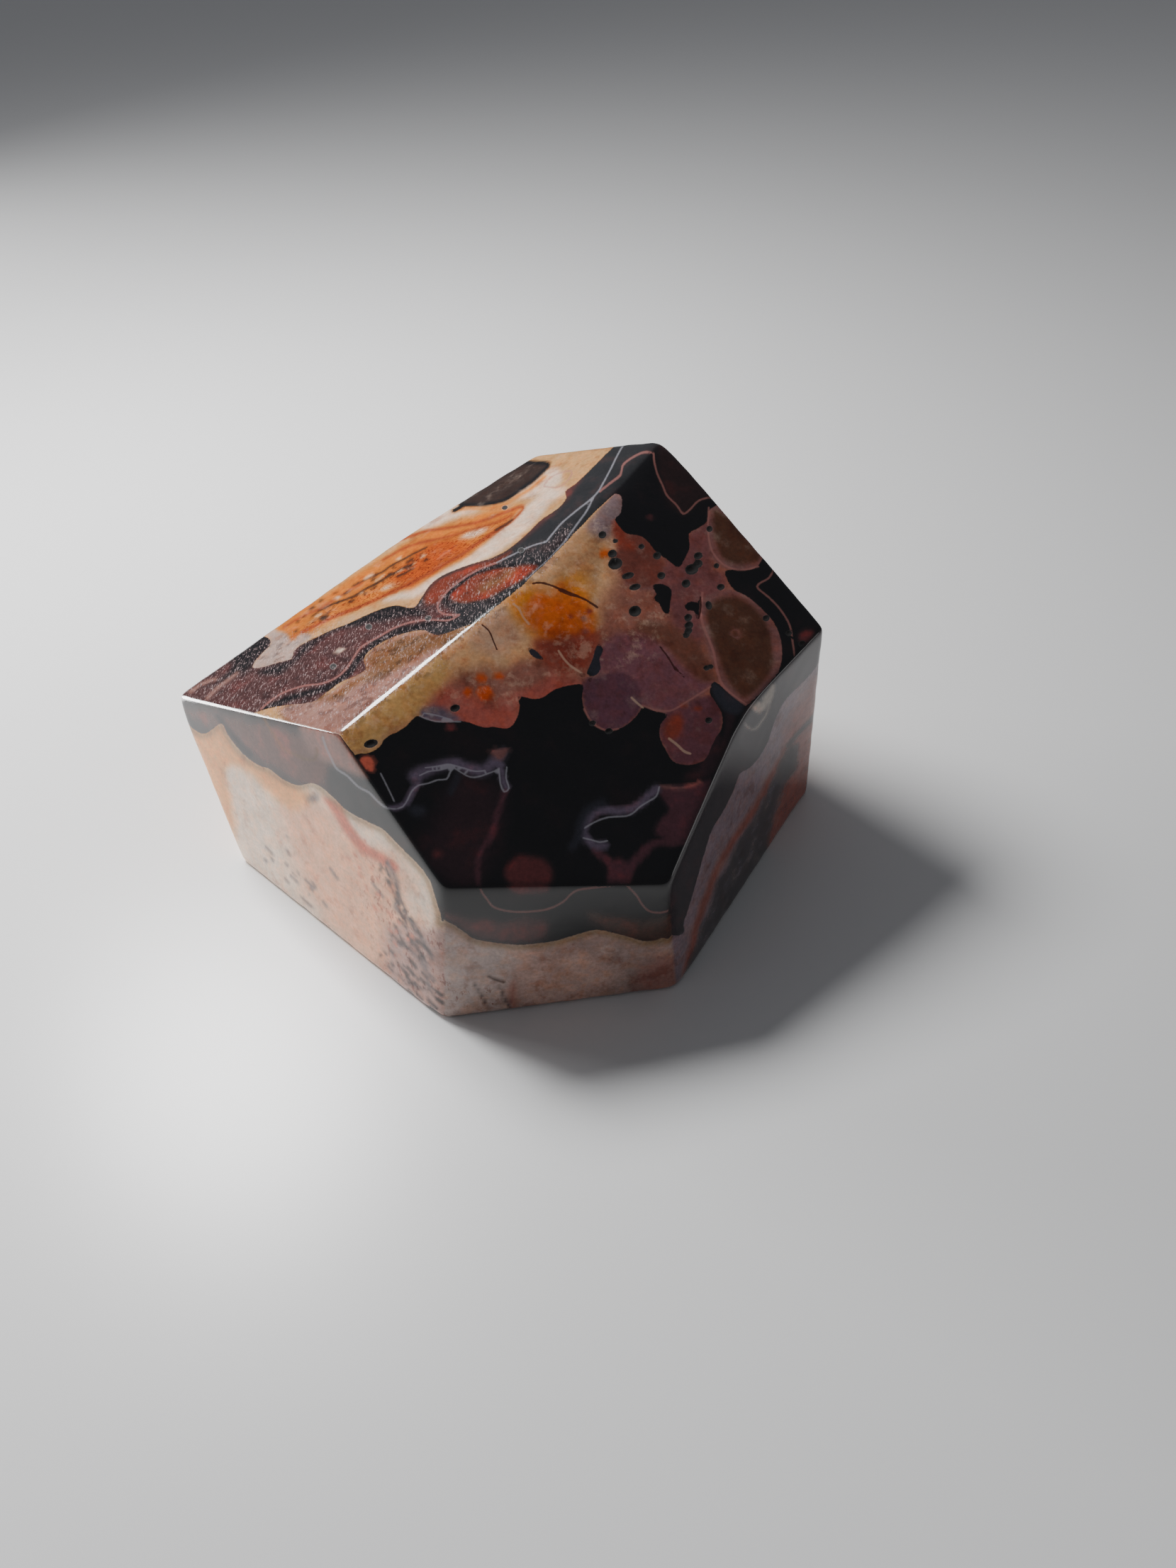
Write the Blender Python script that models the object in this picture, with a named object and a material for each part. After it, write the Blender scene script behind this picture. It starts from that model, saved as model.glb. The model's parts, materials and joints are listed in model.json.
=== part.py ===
"""A polished freeform stone: one solid with ground flat facets and softly rounded edges.

The stone rests on its flat base. +X runs from its thin left tip to its right foot, +Y runs to the back and
+Z is up, with the origin under the middle of the stone. Units are metres.
"""
from math import radians

import bmesh
import bpy
from mathutils import Matrix, Vector

# Overall size between the sharp corners, before the edges are rounded.
LENGTH = 0.0765
WIDTH = 0.0589
HEIGHT = 0.0419

# Polishing rounds each edge where two facets meet. The softer bends between facets stay as they are.
EDGE_ROUNDING = 0.0008
ROUNDING_STEPS = 3
SHARPEST_BEND_LEFT = radians(20)

# Each corner as a share of the length, the width and the height, from the middle of the base.
CORNERS = {
    "left_tip": (-0.500, 0.097, 0.471),
    "ridge_front": (-0.183, -0.283, 0.712),
    "ridge_middle": (0.064, -0.037, 0.870),
    "apex": (0.277, 0.300, 1.000),
    "right_tip": (0.484, -0.016, 0.653),
    "brow": (0.348, -0.197, 0.596),
    "nose_right": (0.225, -0.453, 0.380),
    "nose_left": (-0.061, -0.479, 0.463),
    "shoulder": (0.084, 0.500, 0.856),
    "rim_middle": (-0.151, 0.375, 0.699),
    "foot_front_left": (-0.096, -0.500, 0.0),
    "foot_front_right": (0.235, -0.466, 0.0),
    "foot_right": (0.500, 0.051, 0.0),
    "foot_back_right": (0.334, 0.346, 0.0),
    "foot_back": (0.216, 0.458, 0.0),
    "foot_back_left": (-0.034, 0.345, 0.0),
    "foot_heel": (-0.348, 0.127, 0.0),
    "foot_left": (-0.444, -0.045, 0.0),
}

# Each facet as the corners around it, anticlockwise as seen from outside.
FACETS = {
    "face_lower": ("ridge_front", "nose_left", "nose_right", "brow", "ridge_middle"),
    "face_upper": ("ridge_middle", "brow", "right_tip", "apex"),
    "left_top": ("left_tip", "ridge_front", "ridge_middle", "apex", "shoulder", "rim_middle"),
    "front_wall": ("nose_left", "foot_front_left", "foot_front_right", "nose_right"),
    "left_wall": ("left_tip", "foot_left", "foot_front_left", "nose_left", "ridge_front"),
    "right_wall": ("nose_right", "foot_front_right", "foot_right", "brow"),
    "right_cheek": ("brow", "foot_right", "right_tip"),
    "back_right_wall": ("right_tip", "foot_right", "foot_back_right", "apex"),
    "back_wall": ("apex", "foot_back_right", "foot_back", "shoulder"),
    "rear_wall": ("shoulder", "foot_back", "foot_back_left", "rim_middle"),
    "side_wall": ("rim_middle", "foot_back_left", "foot_heel", "left_tip"),
    "heel": ("left_tip", "foot_heel", "foot_left"),
    "base": ("foot_left", "foot_heel", "foot_back_left", "foot_back", "foot_back_right", "foot_right",
             "foot_front_right", "foot_front_left"),
}

# Banded chalcedony: mostly grey-brown, with a glossy polish.
STONE_COLOUR = (0.30, 0.21, 0.17, 1.0)
POLISH_ROUGHNESS = 0.08


def clear_scene():
    for old in list(bpy.data.objects):
        bpy.data.objects.remove(old)


def stone_material():
    material = bpy.data.materials.new("polished_chalcedony")
    material.use_nodes = True
    shader = material.node_tree.nodes["Principled BSDF"]
    shader.inputs["Base Color"].default_value = STONE_COLOUR
    shader.inputs["Roughness"].default_value = POLISH_ROUGHNESS
    shader.inputs["Metallic"].default_value = 0.0
    return material


def corner_place(name):
    across, back, up = CORNERS[name]
    return Vector((across * LENGTH, back * WIDTH, up * HEIGHT))


def ground_stone():
    """The stone as it leaves the grinding wheel: flat facets that meet in sharp edges."""
    shape = bmesh.new()
    corners = {name: shape.verts.new(corner_place(name)) for name in CORNERS}
    for loop in FACETS.values():
        shape.faces.new([corners[name] for name in loop])
    bmesh.ops.recalc_face_normals(shape, faces=shape.faces)
    mesh = bpy.data.meshes.new("stone")
    shape.to_mesh(mesh)
    shape.free()
    stone = bpy.data.objects.new("stone", mesh)
    bpy.context.collection.objects.link(stone)
    return stone


def polish(stone):
    """Rounds the sharp edges and shades them smoothly into the facets."""
    stone.data.shade_smooth()
    rounding = stone.modifiers.new("rounded_edges", "BEVEL")
    rounding.width = EDGE_ROUNDING
    rounding.segments = ROUNDING_STEPS
    rounding.limit_method = "ANGLE"
    rounding.angle_limit = SHARPEST_BEND_LEFT
    rounding.harden_normals = True


def stand_on_origin(stone):
    """Moves the stone so that the middle of its box stands over the origin, with its base at zero height."""
    bpy.context.view_layer.update()
    finished = stone.evaluated_get(bpy.context.evaluated_depsgraph_get())
    places = [vertex.co for vertex in finished.data.vertices]
    low = Vector([min(place[axis] for place in places) for axis in range(3)])
    high = Vector([max(place[axis] for place in places) for axis in range(3)])
    middle = (low + high) / 2
    stone.data.transform(Matrix.Translation((-middle.x, -middle.y, -low.z)))


def main():
    clear_scene()
    stone = ground_stone()
    polish(stone)
    stand_on_origin(stone)
    stone.data.materials.append(stone_material())


main()
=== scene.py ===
"""The looks of a polished freeform stone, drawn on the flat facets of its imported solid.

The rounded, dense skin of the stone is worked out from the solid's facets. Its markings are drawn in the
pixels of a 1659 x 2212 photograph, and each drawing is laid on its facets as they are seen from the camera.
"""
import json
from collections import namedtuple
from math import cos, pi, radians, sin

import bpy
import numpy as np
from mathutils import Matrix, Vector, geometry

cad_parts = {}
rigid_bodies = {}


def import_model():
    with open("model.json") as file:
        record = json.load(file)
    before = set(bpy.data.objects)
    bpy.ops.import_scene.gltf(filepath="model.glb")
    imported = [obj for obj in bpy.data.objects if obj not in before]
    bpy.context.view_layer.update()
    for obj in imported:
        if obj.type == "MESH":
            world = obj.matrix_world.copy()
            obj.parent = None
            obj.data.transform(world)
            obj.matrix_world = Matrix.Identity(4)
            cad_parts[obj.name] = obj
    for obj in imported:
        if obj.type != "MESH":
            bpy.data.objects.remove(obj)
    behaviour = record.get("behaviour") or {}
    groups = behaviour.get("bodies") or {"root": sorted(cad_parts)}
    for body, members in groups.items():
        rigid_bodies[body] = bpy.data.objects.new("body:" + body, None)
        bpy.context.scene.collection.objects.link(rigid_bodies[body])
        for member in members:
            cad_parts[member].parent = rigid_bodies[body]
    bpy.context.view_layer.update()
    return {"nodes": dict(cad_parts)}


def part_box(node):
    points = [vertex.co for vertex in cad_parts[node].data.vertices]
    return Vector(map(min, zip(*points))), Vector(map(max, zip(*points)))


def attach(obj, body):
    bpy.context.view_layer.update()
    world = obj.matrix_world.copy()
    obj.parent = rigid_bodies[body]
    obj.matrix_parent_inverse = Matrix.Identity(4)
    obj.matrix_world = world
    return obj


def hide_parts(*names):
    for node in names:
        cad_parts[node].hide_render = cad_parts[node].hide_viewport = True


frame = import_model()

MM = 0.001

# The camera that took the photograph.
PHOTO_WIDTH = 1659
PHOTO_HEIGHT = 2212
FOCAL_PIXELS = 1534
SENSOR_MM = 36.0
EYE = np.array([9.73, -99.98, 95.0])
PITCH_DOWN = radians(41.6)
ROLL = radians(4.2)

# Each facet: roughly where it faces, and the corners around it, anticlockwise as seen from outside.
FACETS = {
    "face_lower": ((0.17, -0.58, 0.80), "ridge_front nose_left nose_right brow ridge_middle"),
    "face_upper": ((0.26, -0.45, 0.86), "ridge_middle brow right_tip apex"),
    "left_top": ((-0.36, 0.04, 0.93), "left_tip ridge_front ridge_middle apex shoulder rim_middle"),
    "front_wall": ((0.08, -1.00, 0.05), "nose_left foot_front_left foot_front_right nose_right"),
    "left_wall": ((-0.70, -0.70, 0.14), "left_tip foot_left foot_front_left nose_left ridge_front"),
    "right_wall": ((0.83, -0.55, 0.07), "nose_right foot_front_right foot_right brow"),
    "right_cheek": ((0.72, -0.69, -0.07), "brow foot_right right_tip"),
    "back_right_wall": ((0.80, 0.59, 0.12), "right_tip foot_right foot_back_right apex"),
    "back_wall": ((0.59, 0.80, 0.11), "apex foot_back_right foot_back shoulder"),
    "rear_wall": ((-0.33, 0.93, -0.16), "shoulder foot_back foot_back_left rim_middle"),
    "side_wall": ((-0.46, 0.87, -0.19), "rim_middle foot_back_left foot_heel left_tip"),
    "heel": ((-0.74, 0.54, -0.39), "left_tip foot_heel foot_left"),
    "base": ((0.0, 0.0, -1.0), "foot_left foot_heel foot_back_left foot_back foot_back_right foot_right "
              "foot_front_right foot_front_left"),
}
FACES_WITHIN = cos(radians(5))

# Three facets that meet in each corner.
CORNER_FACETS = {
    "left_tip": "left_top left_wall side_wall",
    "ridge_front": "left_top left_wall face_lower",
    "ridge_middle": "left_top face_lower face_upper",
    "apex": "left_top face_upper back_right_wall",
    "right_tip": "face_upper right_cheek back_right_wall",
    "brow": "face_lower face_upper right_wall",
    "nose_right": "face_lower front_wall right_wall",
    "nose_left": "face_lower front_wall left_wall",
    "shoulder": "left_top back_wall rear_wall",
    "rim_middle": "left_top rear_wall side_wall",
    "foot_front_left": "front_wall left_wall base",
    "foot_front_right": "front_wall right_wall base",
    "foot_right": "right_wall back_right_wall base",
    "foot_back_right": "back_right_wall back_wall base",
    "foot_back": "back_wall rear_wall base",
    "foot_back_left": "rear_wall side_wall base",
    "foot_heel": "side_wall heel base",
    "foot_left": "left_wall heel base",
}

# How tightly facets are blended where they meet, in 1/mm. A higher number gives a sharper edge.
USUAL_EDGE = 3.4
EDGE_TIGHTNESS = {
    ("left_tip", "ridge_front"): 5.5,
    ("ridge_middle", "apex"): 1.5,
    ("ridge_front", "ridge_middle"): 2.6,
    ("nose_left", "foot_front_left"): 1.9,
    ("nose_right", "foot_front_right"): 2.4,
    ("nose_left", "nose_right"): 5.0,
    ("ridge_front", "nose_left"): 4.4,
    ("brow", "right_tip"): 5.0,
    ("apex", "right_tip"): 4.4,
    ("foot_front_left", "foot_front_right"): 2.4,
}
EDGE_REACH = 2.5
SOFT_CREASE = 4.0
INWARD_BEND = 3.0

# Hand work leaves the edges tighter in some spots: by what share, and the size of a spot in mm.
EDGE_WANDER = 0.10
WANDER_SIZE = 0.7

# Mesh steps in mm.
STEP_SEEN = 0.42
STEP_HIDDEN = 0.9
STEP_EDGE = 0.24
EDGE_BAND = 1.3

# Drawn points keep this far from each other, and filling points keep this far from them, in mm.
DRAWN_GAP = 0.17
FILLING_GAP = 0.2

# How far the rows of a triangular lattice are apart, as a share of its step.
ROW_RISE = 0.866

# Rounds of moving a point onto the rounded stone, which soon stops changing it.
SETTLING_ROUNDS = 6

# The facets that the photograph doesn't show.
HIDDEN_FACETS = ("back_right_wall", "back_wall", "rear_wall", "side_wall", "heel", "base")

# Hand polishing leaves shallow waves of this depth and size, in mm.
HAND_POLISH = 0.014
POLISH_WAVE = 0.6

# How much of that shows in the reflections.
WORN = 0.35

# The skin stays this far inside the solid's box, and what sticks out is pressed into this much room, in mm.
BOX_MARGIN = 0.8
PRESS_ROOM = 0.75


def unit(vector):
    return vector / np.linalg.norm(vector)


def camera_axes():
    """The photograph's right, down and forward directions."""
    forward = np.array([0.0, cos(PITCH_DOWN), -sin(PITCH_DOWN)])
    level = np.array([1.0, 0.0, 0.0])
    below = np.cross(forward, level)
    right = cos(ROLL) * level + sin(ROLL) * below
    down = cos(ROLL) * below - sin(ROLL) * level
    return np.array([right, down, forward])


CAMERA_AXES = camera_axes()


def to_pixels(points):
    """Where points in mm show in the photograph."""
    seen = (points - EYE) @ CAMERA_AXES.T
    across = PHOTO_WIDTH / 2 + FOCAL_PIXELS * seen[:, 0] / seen[:, 2]
    down = PHOTO_HEIGHT / 2 + FOCAL_PIXELS * seen[:, 1] / seen[:, 2]
    return np.stack([across, down], axis=1)


def onto_plane(pixels, plane):
    """The points in mm where lines of sight through pixels meet a facet's plane."""
    normal, offset = plane
    across = (pixels[:, 0] - PHOTO_WIDTH / 2) / FOCAL_PIXELS
    down = (pixels[:, 1] - PHOTO_HEIGHT / 2) / FOCAL_PIXELS
    rays = np.stack([across, down, np.ones(len(pixels))], axis=1) @ CAMERA_AXES
    reach = (offset - EYE @ normal) / (rays @ normal)
    return EYE + rays * reach[:, None]


def facet_planes(node):
    """The plane of each facet, as an outward normal and a distance in mm, averaged over the solid's faces."""
    mesh = node.data
    mesh.calc_loop_triangles()
    places = np.array([vertex.co for vertex in mesh.vertices]) / MM
    triangles = places[np.array([list(face.vertices) for face in mesh.loop_triangles])]
    crosses = np.cross(triangles[:, 1] - triangles[:, 0], triangles[:, 2] - triangles[:, 0])
    sizes = np.linalg.norm(crosses, axis=1)
    solid = sizes > 0
    crosses, sizes, triangles = crosses[solid], sizes[solid], triangles[solid]
    planes = {}
    for name, (facing, _) in FACETS.items():
        chosen = (crosses / sizes[:, None]) @ unit(np.array(facing)) > FACES_WITHIN
        normal = unit(crosses[chosen].sum(axis=0))
        middles = triangles[chosen].mean(axis=1) @ normal
        planes[name] = (normal, np.average(middles, weights=sizes[chosen]))
    return planes


def sharp_corners(planes):
    """The corners where the flat facets would meet if their edges weren't rounded, in mm."""
    corners = {}
    for name, facets in CORNER_FACETS.items():
        normals = np.array([planes[facet][0] for facet in facets.split()])
        offsets = np.array([planes[facet][1] for facet in facets.split()])
        corners[name] = np.linalg.solve(normals, offsets)
    return corners


def facet_loop(facet):
    return FACETS[facet][1].split()


def blended(values, normals, tightness):
    """A smooth greatest value of several height fields, never less than the greatest, and its gradient."""
    peak = values.max(axis=0)
    share = np.exp(tightness * (values - peak))
    total = share.sum(axis=0)
    height = peak + np.log(total) / tightness
    slope = (share[:, :, None] * normals).sum(axis=0) / total[:, None]
    return height, slope


def flat_fields(points, planes, names):
    values = np.array([points @ planes[name][0] - planes[name][1] for name in names])
    slopes = np.array([np.broadcast_to(planes[name][0], points.shape) for name in names])
    return values, slopes


def segment_distance(points, start, end):
    along = end - start
    share = np.clip((points - start) @ along / (along @ along), 0, 1)
    return np.linalg.norm(points - start - share[:, None] * along, axis=1)


def edge_tightness(points, corners):
    """The tightness at each point, blended from the edges that are near it."""
    total = np.full(len(points), 1e-9)
    weighted = total * USUAL_EDGE
    edges = {tuple(sorted(pair)) for facet in FACETS for pair in loop_pairs(facet_loop(facet))}
    chosen = {tuple(sorted(pair)): value for pair, value in EDGE_TIGHTNESS.items()}
    for pair in sorted(edges):
        nearness = np.exp(-(segment_distance(points, corners[pair[0]], corners[pair[1]]) / EDGE_REACH) ** 2)
        total += nearness
        weighted += nearness * chosen.get(pair, USUAL_EDGE)
    return weighted / total


def loop_pairs(loop):
    return list(zip(loop, loop[1:] + loop[:1]))


def stone_field(points, planes, tightness):
    """The height above the rounded stone's surface, and its gradient."""
    main = blended(*flat_fields(points, planes, ["face_lower", "face_upper"]), SOFT_CREASE)
    low, low_slope = flat_fields(points, planes, ["right_wall", "right_cheek"])
    right, right_slope = blended(-low, -low_slope, INWARD_BEND)
    joined = ("face_lower", "face_upper", "right_wall", "right_cheek")
    others, other_slopes = flat_fields(points, planes, [name for name in FACETS if name not in joined])
    values = np.concatenate([others, [main[0], -right]])
    slopes = np.concatenate([other_slopes, [main[1], -right_slope]])
    return blended(values, slopes, tightness)


def rounded(points, planes, corners):
    """Moves points on the sharp facets down onto the rounded stone."""
    tightness = edge_tightness(points, corners) * (1 + EDGE_WANDER * waver(points, WANDER_SIZE))
    for _ in range(SETTLING_ROUNDS):
        height, slope = stone_field(points, planes, tightness)
        points = points - slope * (height / (slope ** 2).sum(axis=1))[:, None]
    return points, slope / np.linalg.norm(slope, axis=1)[:, None]


def along(start, end, step):
    """Points from start up to, but not including, end, at an even step."""
    count = max(1, round(float(np.linalg.norm(end - start)) / step))
    return [start + (end - start) * index / count for index in range(count)]


def ring_distance(points, ring):
    """The distance from flat points to the nearest side of a ring, negative outside it."""
    nearest = np.full(len(points), np.inf)
    for start, end in zip(ring, np.roll(ring, -1, axis=0)):
        side = unit(end - start)
        inward = (points - start) @ np.array([-side[1], side[0]])
        nearest = np.minimum(nearest, inward)
    return nearest


def lattice(low, high, step):
    """A triangular lattice of flat points that fills a rectangle."""
    rows = np.arange(low[1], high[1], step * ROW_RISE)
    points = []
    for index, height in enumerate(rows):
        row = np.arange(low[0] + (index % 2) * step / 2, high[0], step)
        points.append(np.stack([row, np.full(len(row), height)], axis=1))
    return np.concatenate(points)


class Skin:
    """Vertices and faces of the sharp stone, with each facet filled by a fine triangle mesh."""

    def __init__(self, planes, corners):
        self.planes = planes
        self.corners = corners
        self.places = [corners[name] for name in corners]
        self.ids = {name: index for index, name in enumerate(corners)}
        self.faces = []
        self.edge_ids = {}
        self.facet_ids = {}

    def edge(self, first, second):
        """The vertex numbers from one corner to the next, made once for the two facets that share them."""
        if (first, second) not in self.edge_ids:
            inner = along(self.corners[first], self.corners[second], STEP_EDGE)[1:]
            numbers = list(range(len(self.places), len(self.places) + len(inner)))
            self.places += inner
            whole = [self.ids[first]] + numbers + [self.ids[second]]
            self.edge_ids[(first, second)] = whole
            self.edge_ids[(second, first)] = whole[::-1]
        return self.edge_ids[(first, second)]

    def fill(self, facet, drawn_paths):
        """Fills a facet with triangles whose sides follow the drawn paths."""
        normal, _ = self.planes[facet]
        loop = facet_loop(facet)
        start = self.corners[loop[0]]
        across = unit(self.corners[loop[1]] - start)
        up = np.cross(normal, across)
        flatten = np.stack([across, up], axis=1)
        ring_ids = [number for pair in loop_pairs(loop) for number in self.edge(*pair)[:-1]]
        ring = np.array([self.places[number] - start for number in ring_ids]) @ flatten
        outline = np.array([self.corners[name] - start for name in loop]) @ flatten
        paths = [self.kept_runs((path - start) @ flatten, outline) for path in drawn_paths]
        drawn, links = join_paths([run for runs in paths for run in runs])
        step = STEP_HIDDEN if facet in HIDDEN_FACETS else STEP_SEEN
        filling = clear_of(fill_points(outline, step), drawn)
        flat = np.concatenate([ring, drawn, filling])
        sides = [(index, (index + 1) % len(ring)) for index in range(len(ring))]
        sides += [(len(ring) + a, len(ring) + b) for a, b in links]
        made = geometry.delaunay_2d_cdt([tuple(point) for point in flat], sides, [], 1, 1e-5)
        numbers = []
        for place, sources in zip(made[0], made[3]):
            ring_source = [source for source in sources if source < len(ring)]
            if ring_source:
                numbers.append(ring_ids[ring_source[0]])
            else:
                numbers.append(len(self.places))
                self.places.append(start + flatten @ np.array(place))
        self.faces += [[numbers[corner] for corner in face] for face in made[2]]
        self.facet_ids[facet] = np.array(sorted(set(numbers)))

    @staticmethod
    def kept_runs(path, outline):
        """The stretches of a flat path that lie well inside the facet."""
        inside = ring_distance(path, outline) > STEP_EDGE
        runs = []
        for place, keep in zip(path, inside):
            if keep and runs and runs[-1] is not None:
                runs[-1].append(place)
            elif keep:
                runs.append([place])
            elif runs and runs[-1] is not None:
                runs.append(None)
        return [run for run in runs if run]


def cell_of(place, size):
    return int(place[0] // size), int(place[1] // size)


def cells_around(cell):
    return [(cell[0] + i, cell[1] + j) for i in (-1, 0, 1) for j in (-1, 0, 1)]


def join_paths(runs):
    """Joins runs of points into one list with links, and leaves out points that crowd an earlier one."""
    points = []
    links = []
    taken = {}
    for run in runs:
        last = None
        for place in run:
            cell = cell_of(place, DRAWN_GAP)
            near = [points[taken[other]] for other in cells_around(cell) if other in taken]
            if any(np.linalg.norm(other - place) < DRAWN_GAP for other in near):
                last = None
                continue
            taken[cell] = len(points)
            points.append(place)
            if last is not None:
                links.append((last, len(points) - 1))
            last = len(points) - 1
    return np.array(points).reshape(-1, 2), links


def fill_points(outline, step):
    """Lattice points inside a facet's outline, finer beside its edges."""
    low = outline.min(axis=0)
    high = outline.max(axis=0)
    wide = lattice(low, high, step)
    wide = wide[ring_distance(wide, outline) > EDGE_BAND]
    fine = lattice(low, high, STEP_EDGE)
    inset = ring_distance(fine, outline)
    fine = fine[(inset > STEP_EDGE * 0.55) & (inset <= EDGE_BAND)]
    return np.concatenate([wide, fine])


def clear_of(points, drawn):
    """The points that keep clear of the drawn paths."""
    if not len(drawn):
        return points
    taken = {}
    for place in drawn:
        taken.setdefault(cell_of(place, FILLING_GAP), []).append(place)
    kept = []
    for place in points:
        near = [other for cell in cells_around(cell_of(place, FILLING_GAP)) for other in taken.get(cell, ())]
        if all(abs(other[0] - place[0]) + abs(other[1] - place[1]) > FILLING_GAP for other in near):
            kept.append(place)
    return np.array(kept)


COLOURS = {
    "cream_top": (166, 126, 82),
    "cream_white": (196, 170, 150),
    "notch_grey": (150, 128, 118),
    "golden": (170, 94, 26),
    "orange": (150, 63, 6),
    "rust": (132, 58, 24),
    "umber": (50, 30, 20),
    "eye_brown": (40, 28, 24),
    "maroon": (62, 37, 36),
    "ridge_grey": (32, 32, 34),
    "red_brown": (98, 39, 24),
    "tan": (98, 66, 40),
    "pink_brown": (130, 94, 84),
    "honey_strip": (172, 132, 80),
    "cream_mid": (184, 140, 100),
    "grey_cream": (172, 134, 108),
    "honey_gold": (182, 116, 40),
    "glow_orange": (176, 80, 12),
    "dot_orange": (178, 68, 14),
    "orange_red": (118, 48, 34),
    "beige": (156, 118, 84),
    "white_pink": (106, 88, 90),
    "salmon": (150, 76, 66),
    "nodule_orange": (98, 50, 42),
    "pink_mid": (126, 78, 66),
    "dusk_pink": (104, 60, 60),
    "dusty_mauve": (104, 62, 70),
    "streak_brown": (96, 56, 44),
    "tan_nodule": (72, 42, 28),
    "rim_pink": (108, 70, 68),
    "lavender": (82, 48, 60),
    "pink_nodule": (90, 50, 58),
    "veil_pale": (216, 186, 160),
    "red_nodule": (180, 84, 66),
    "near_black": (12, 11, 14),
    "dark_red": (38, 22, 27),
    "reddish": (80, 36, 38),
    "pink_branch": (70, 38, 46),
    "slate": (34, 34, 42),
    "apex_maroon": (34, 20, 21),
    "lilac": (84, 72, 88),
    "wall_white": (250, 222, 198),
    "wall_peach": (250, 188, 150),
    "wall_orange": (250, 172, 98),
    "stripe_red": (214, 112, 84),
    "vein_grey": (112, 98, 98),
    "fleck_grey": (66, 56, 56),
    "band_grey": (46, 42, 42),
    "band_green": (36, 38, 38),
    "band_brown": (96, 62, 54),
    "front_cream": (164, 138, 130),
    "front_pale": (180, 158, 150),
    "front_peach": (192, 158, 146),
    "front_red": (164, 116, 106),
    "front_dark": (15, 13, 15),
    "front_brown": (70, 48, 40),
    "front_pink": (78, 44, 42),
    "stain": (166, 116, 104),
    "right_white": (134, 112, 120),
    "right_pink": (150, 92, 84),
    "right_grey": (52, 48, 50),
    "right_streak": (62, 54, 58),
    "right_fleck": (92, 84, 92),
    "nodule_cream": (160, 146, 132),
    "mottle_grey": (190, 150, 138),
    "right_red": (142, 72, 58),
    "right_band": (44, 36, 40),
    "tan_rim": (124, 96, 56),
    "pale_line": (180, 150, 128),
    "pink_line": (150, 98, 92),
    "white_line": (150, 148, 156),
    "crack_red": (52, 14, 10),
    # near-black painted shade inside the pits
    "pit_shade": (10, 6, 6),
    # pale pink-white painted into the colour as glints on scratches and specks
    "glint_pink": (190, 160, 158),
}

Mark = namedtuple("Mark", "name kind layer colour soft width tilt points")

# Pixels to a millimetre in the middle of the stone, and the step along a drawn curve in pixels.
PIXELS_PER_MM = 14.0
CURVE_STEP = 5.0

# Marks with an edge sharper than this, in mm, are cut into the mesh.
CUT_SOFTNESS = 0.35

# Signed distances are kept within this, in mm.
FAR = 2.0


def pairs(text):
    """Points from a text such as "455,1090 495,1067"."""
    return np.array([[float(number) for number in point.split(",")] for point in text.split()])


def area(name, layer, colour, soft, path):
    """A filled outline. Soft is the width of its edge in mm."""
    return Mark(name, "area", layer, colour, soft, 0, 0, pairs(path))


def dark(name, path):
    """A crisp outline that shows the deep colours instead of the light ones."""
    return Mark(name, "area", "dark", "", 0, 0, 0, pairs(path))


def stroke(name, layer, colour, soft, width, path):
    """A soft line, with its width in pixels."""
    return Mark(name, "stroke", layer, colour, soft, width, 0, pairs(path))


def line(name, layer, width, path):
    """A crisp line, with its width in pixels."""
    return Mark(name, "stroke", layer, "", 0, width, 0, pairs(path))


def oval(name, layer, colour, soft, middle, size, tilt=0):
    """A filled ellipse, tilted clockwise in the picture by that many degrees."""
    return Mark(name, "area", layer, colour, soft, 0, tilt, ellipse(middle, size, tilt))


def spot(name, layer, middle, size, tilt=0):
    """A crisp ellipse."""
    return Mark(name, "area", layer, "", 0, 0, tilt, ellipse(middle, size, tilt))


def ellipse(middle, size, tilt):
    turn = np.linspace(0, 2 * pi, 13)[:-1]
    flat = pairs(size) / 2 * np.stack([np.cos(turn), np.sin(turn)], axis=1)
    turned = np.array([[cos(radians(tilt)), sin(radians(tilt))], [-sin(radians(tilt)), cos(radians(tilt))]])
    return pairs(middle) + flat @ turned


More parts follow.
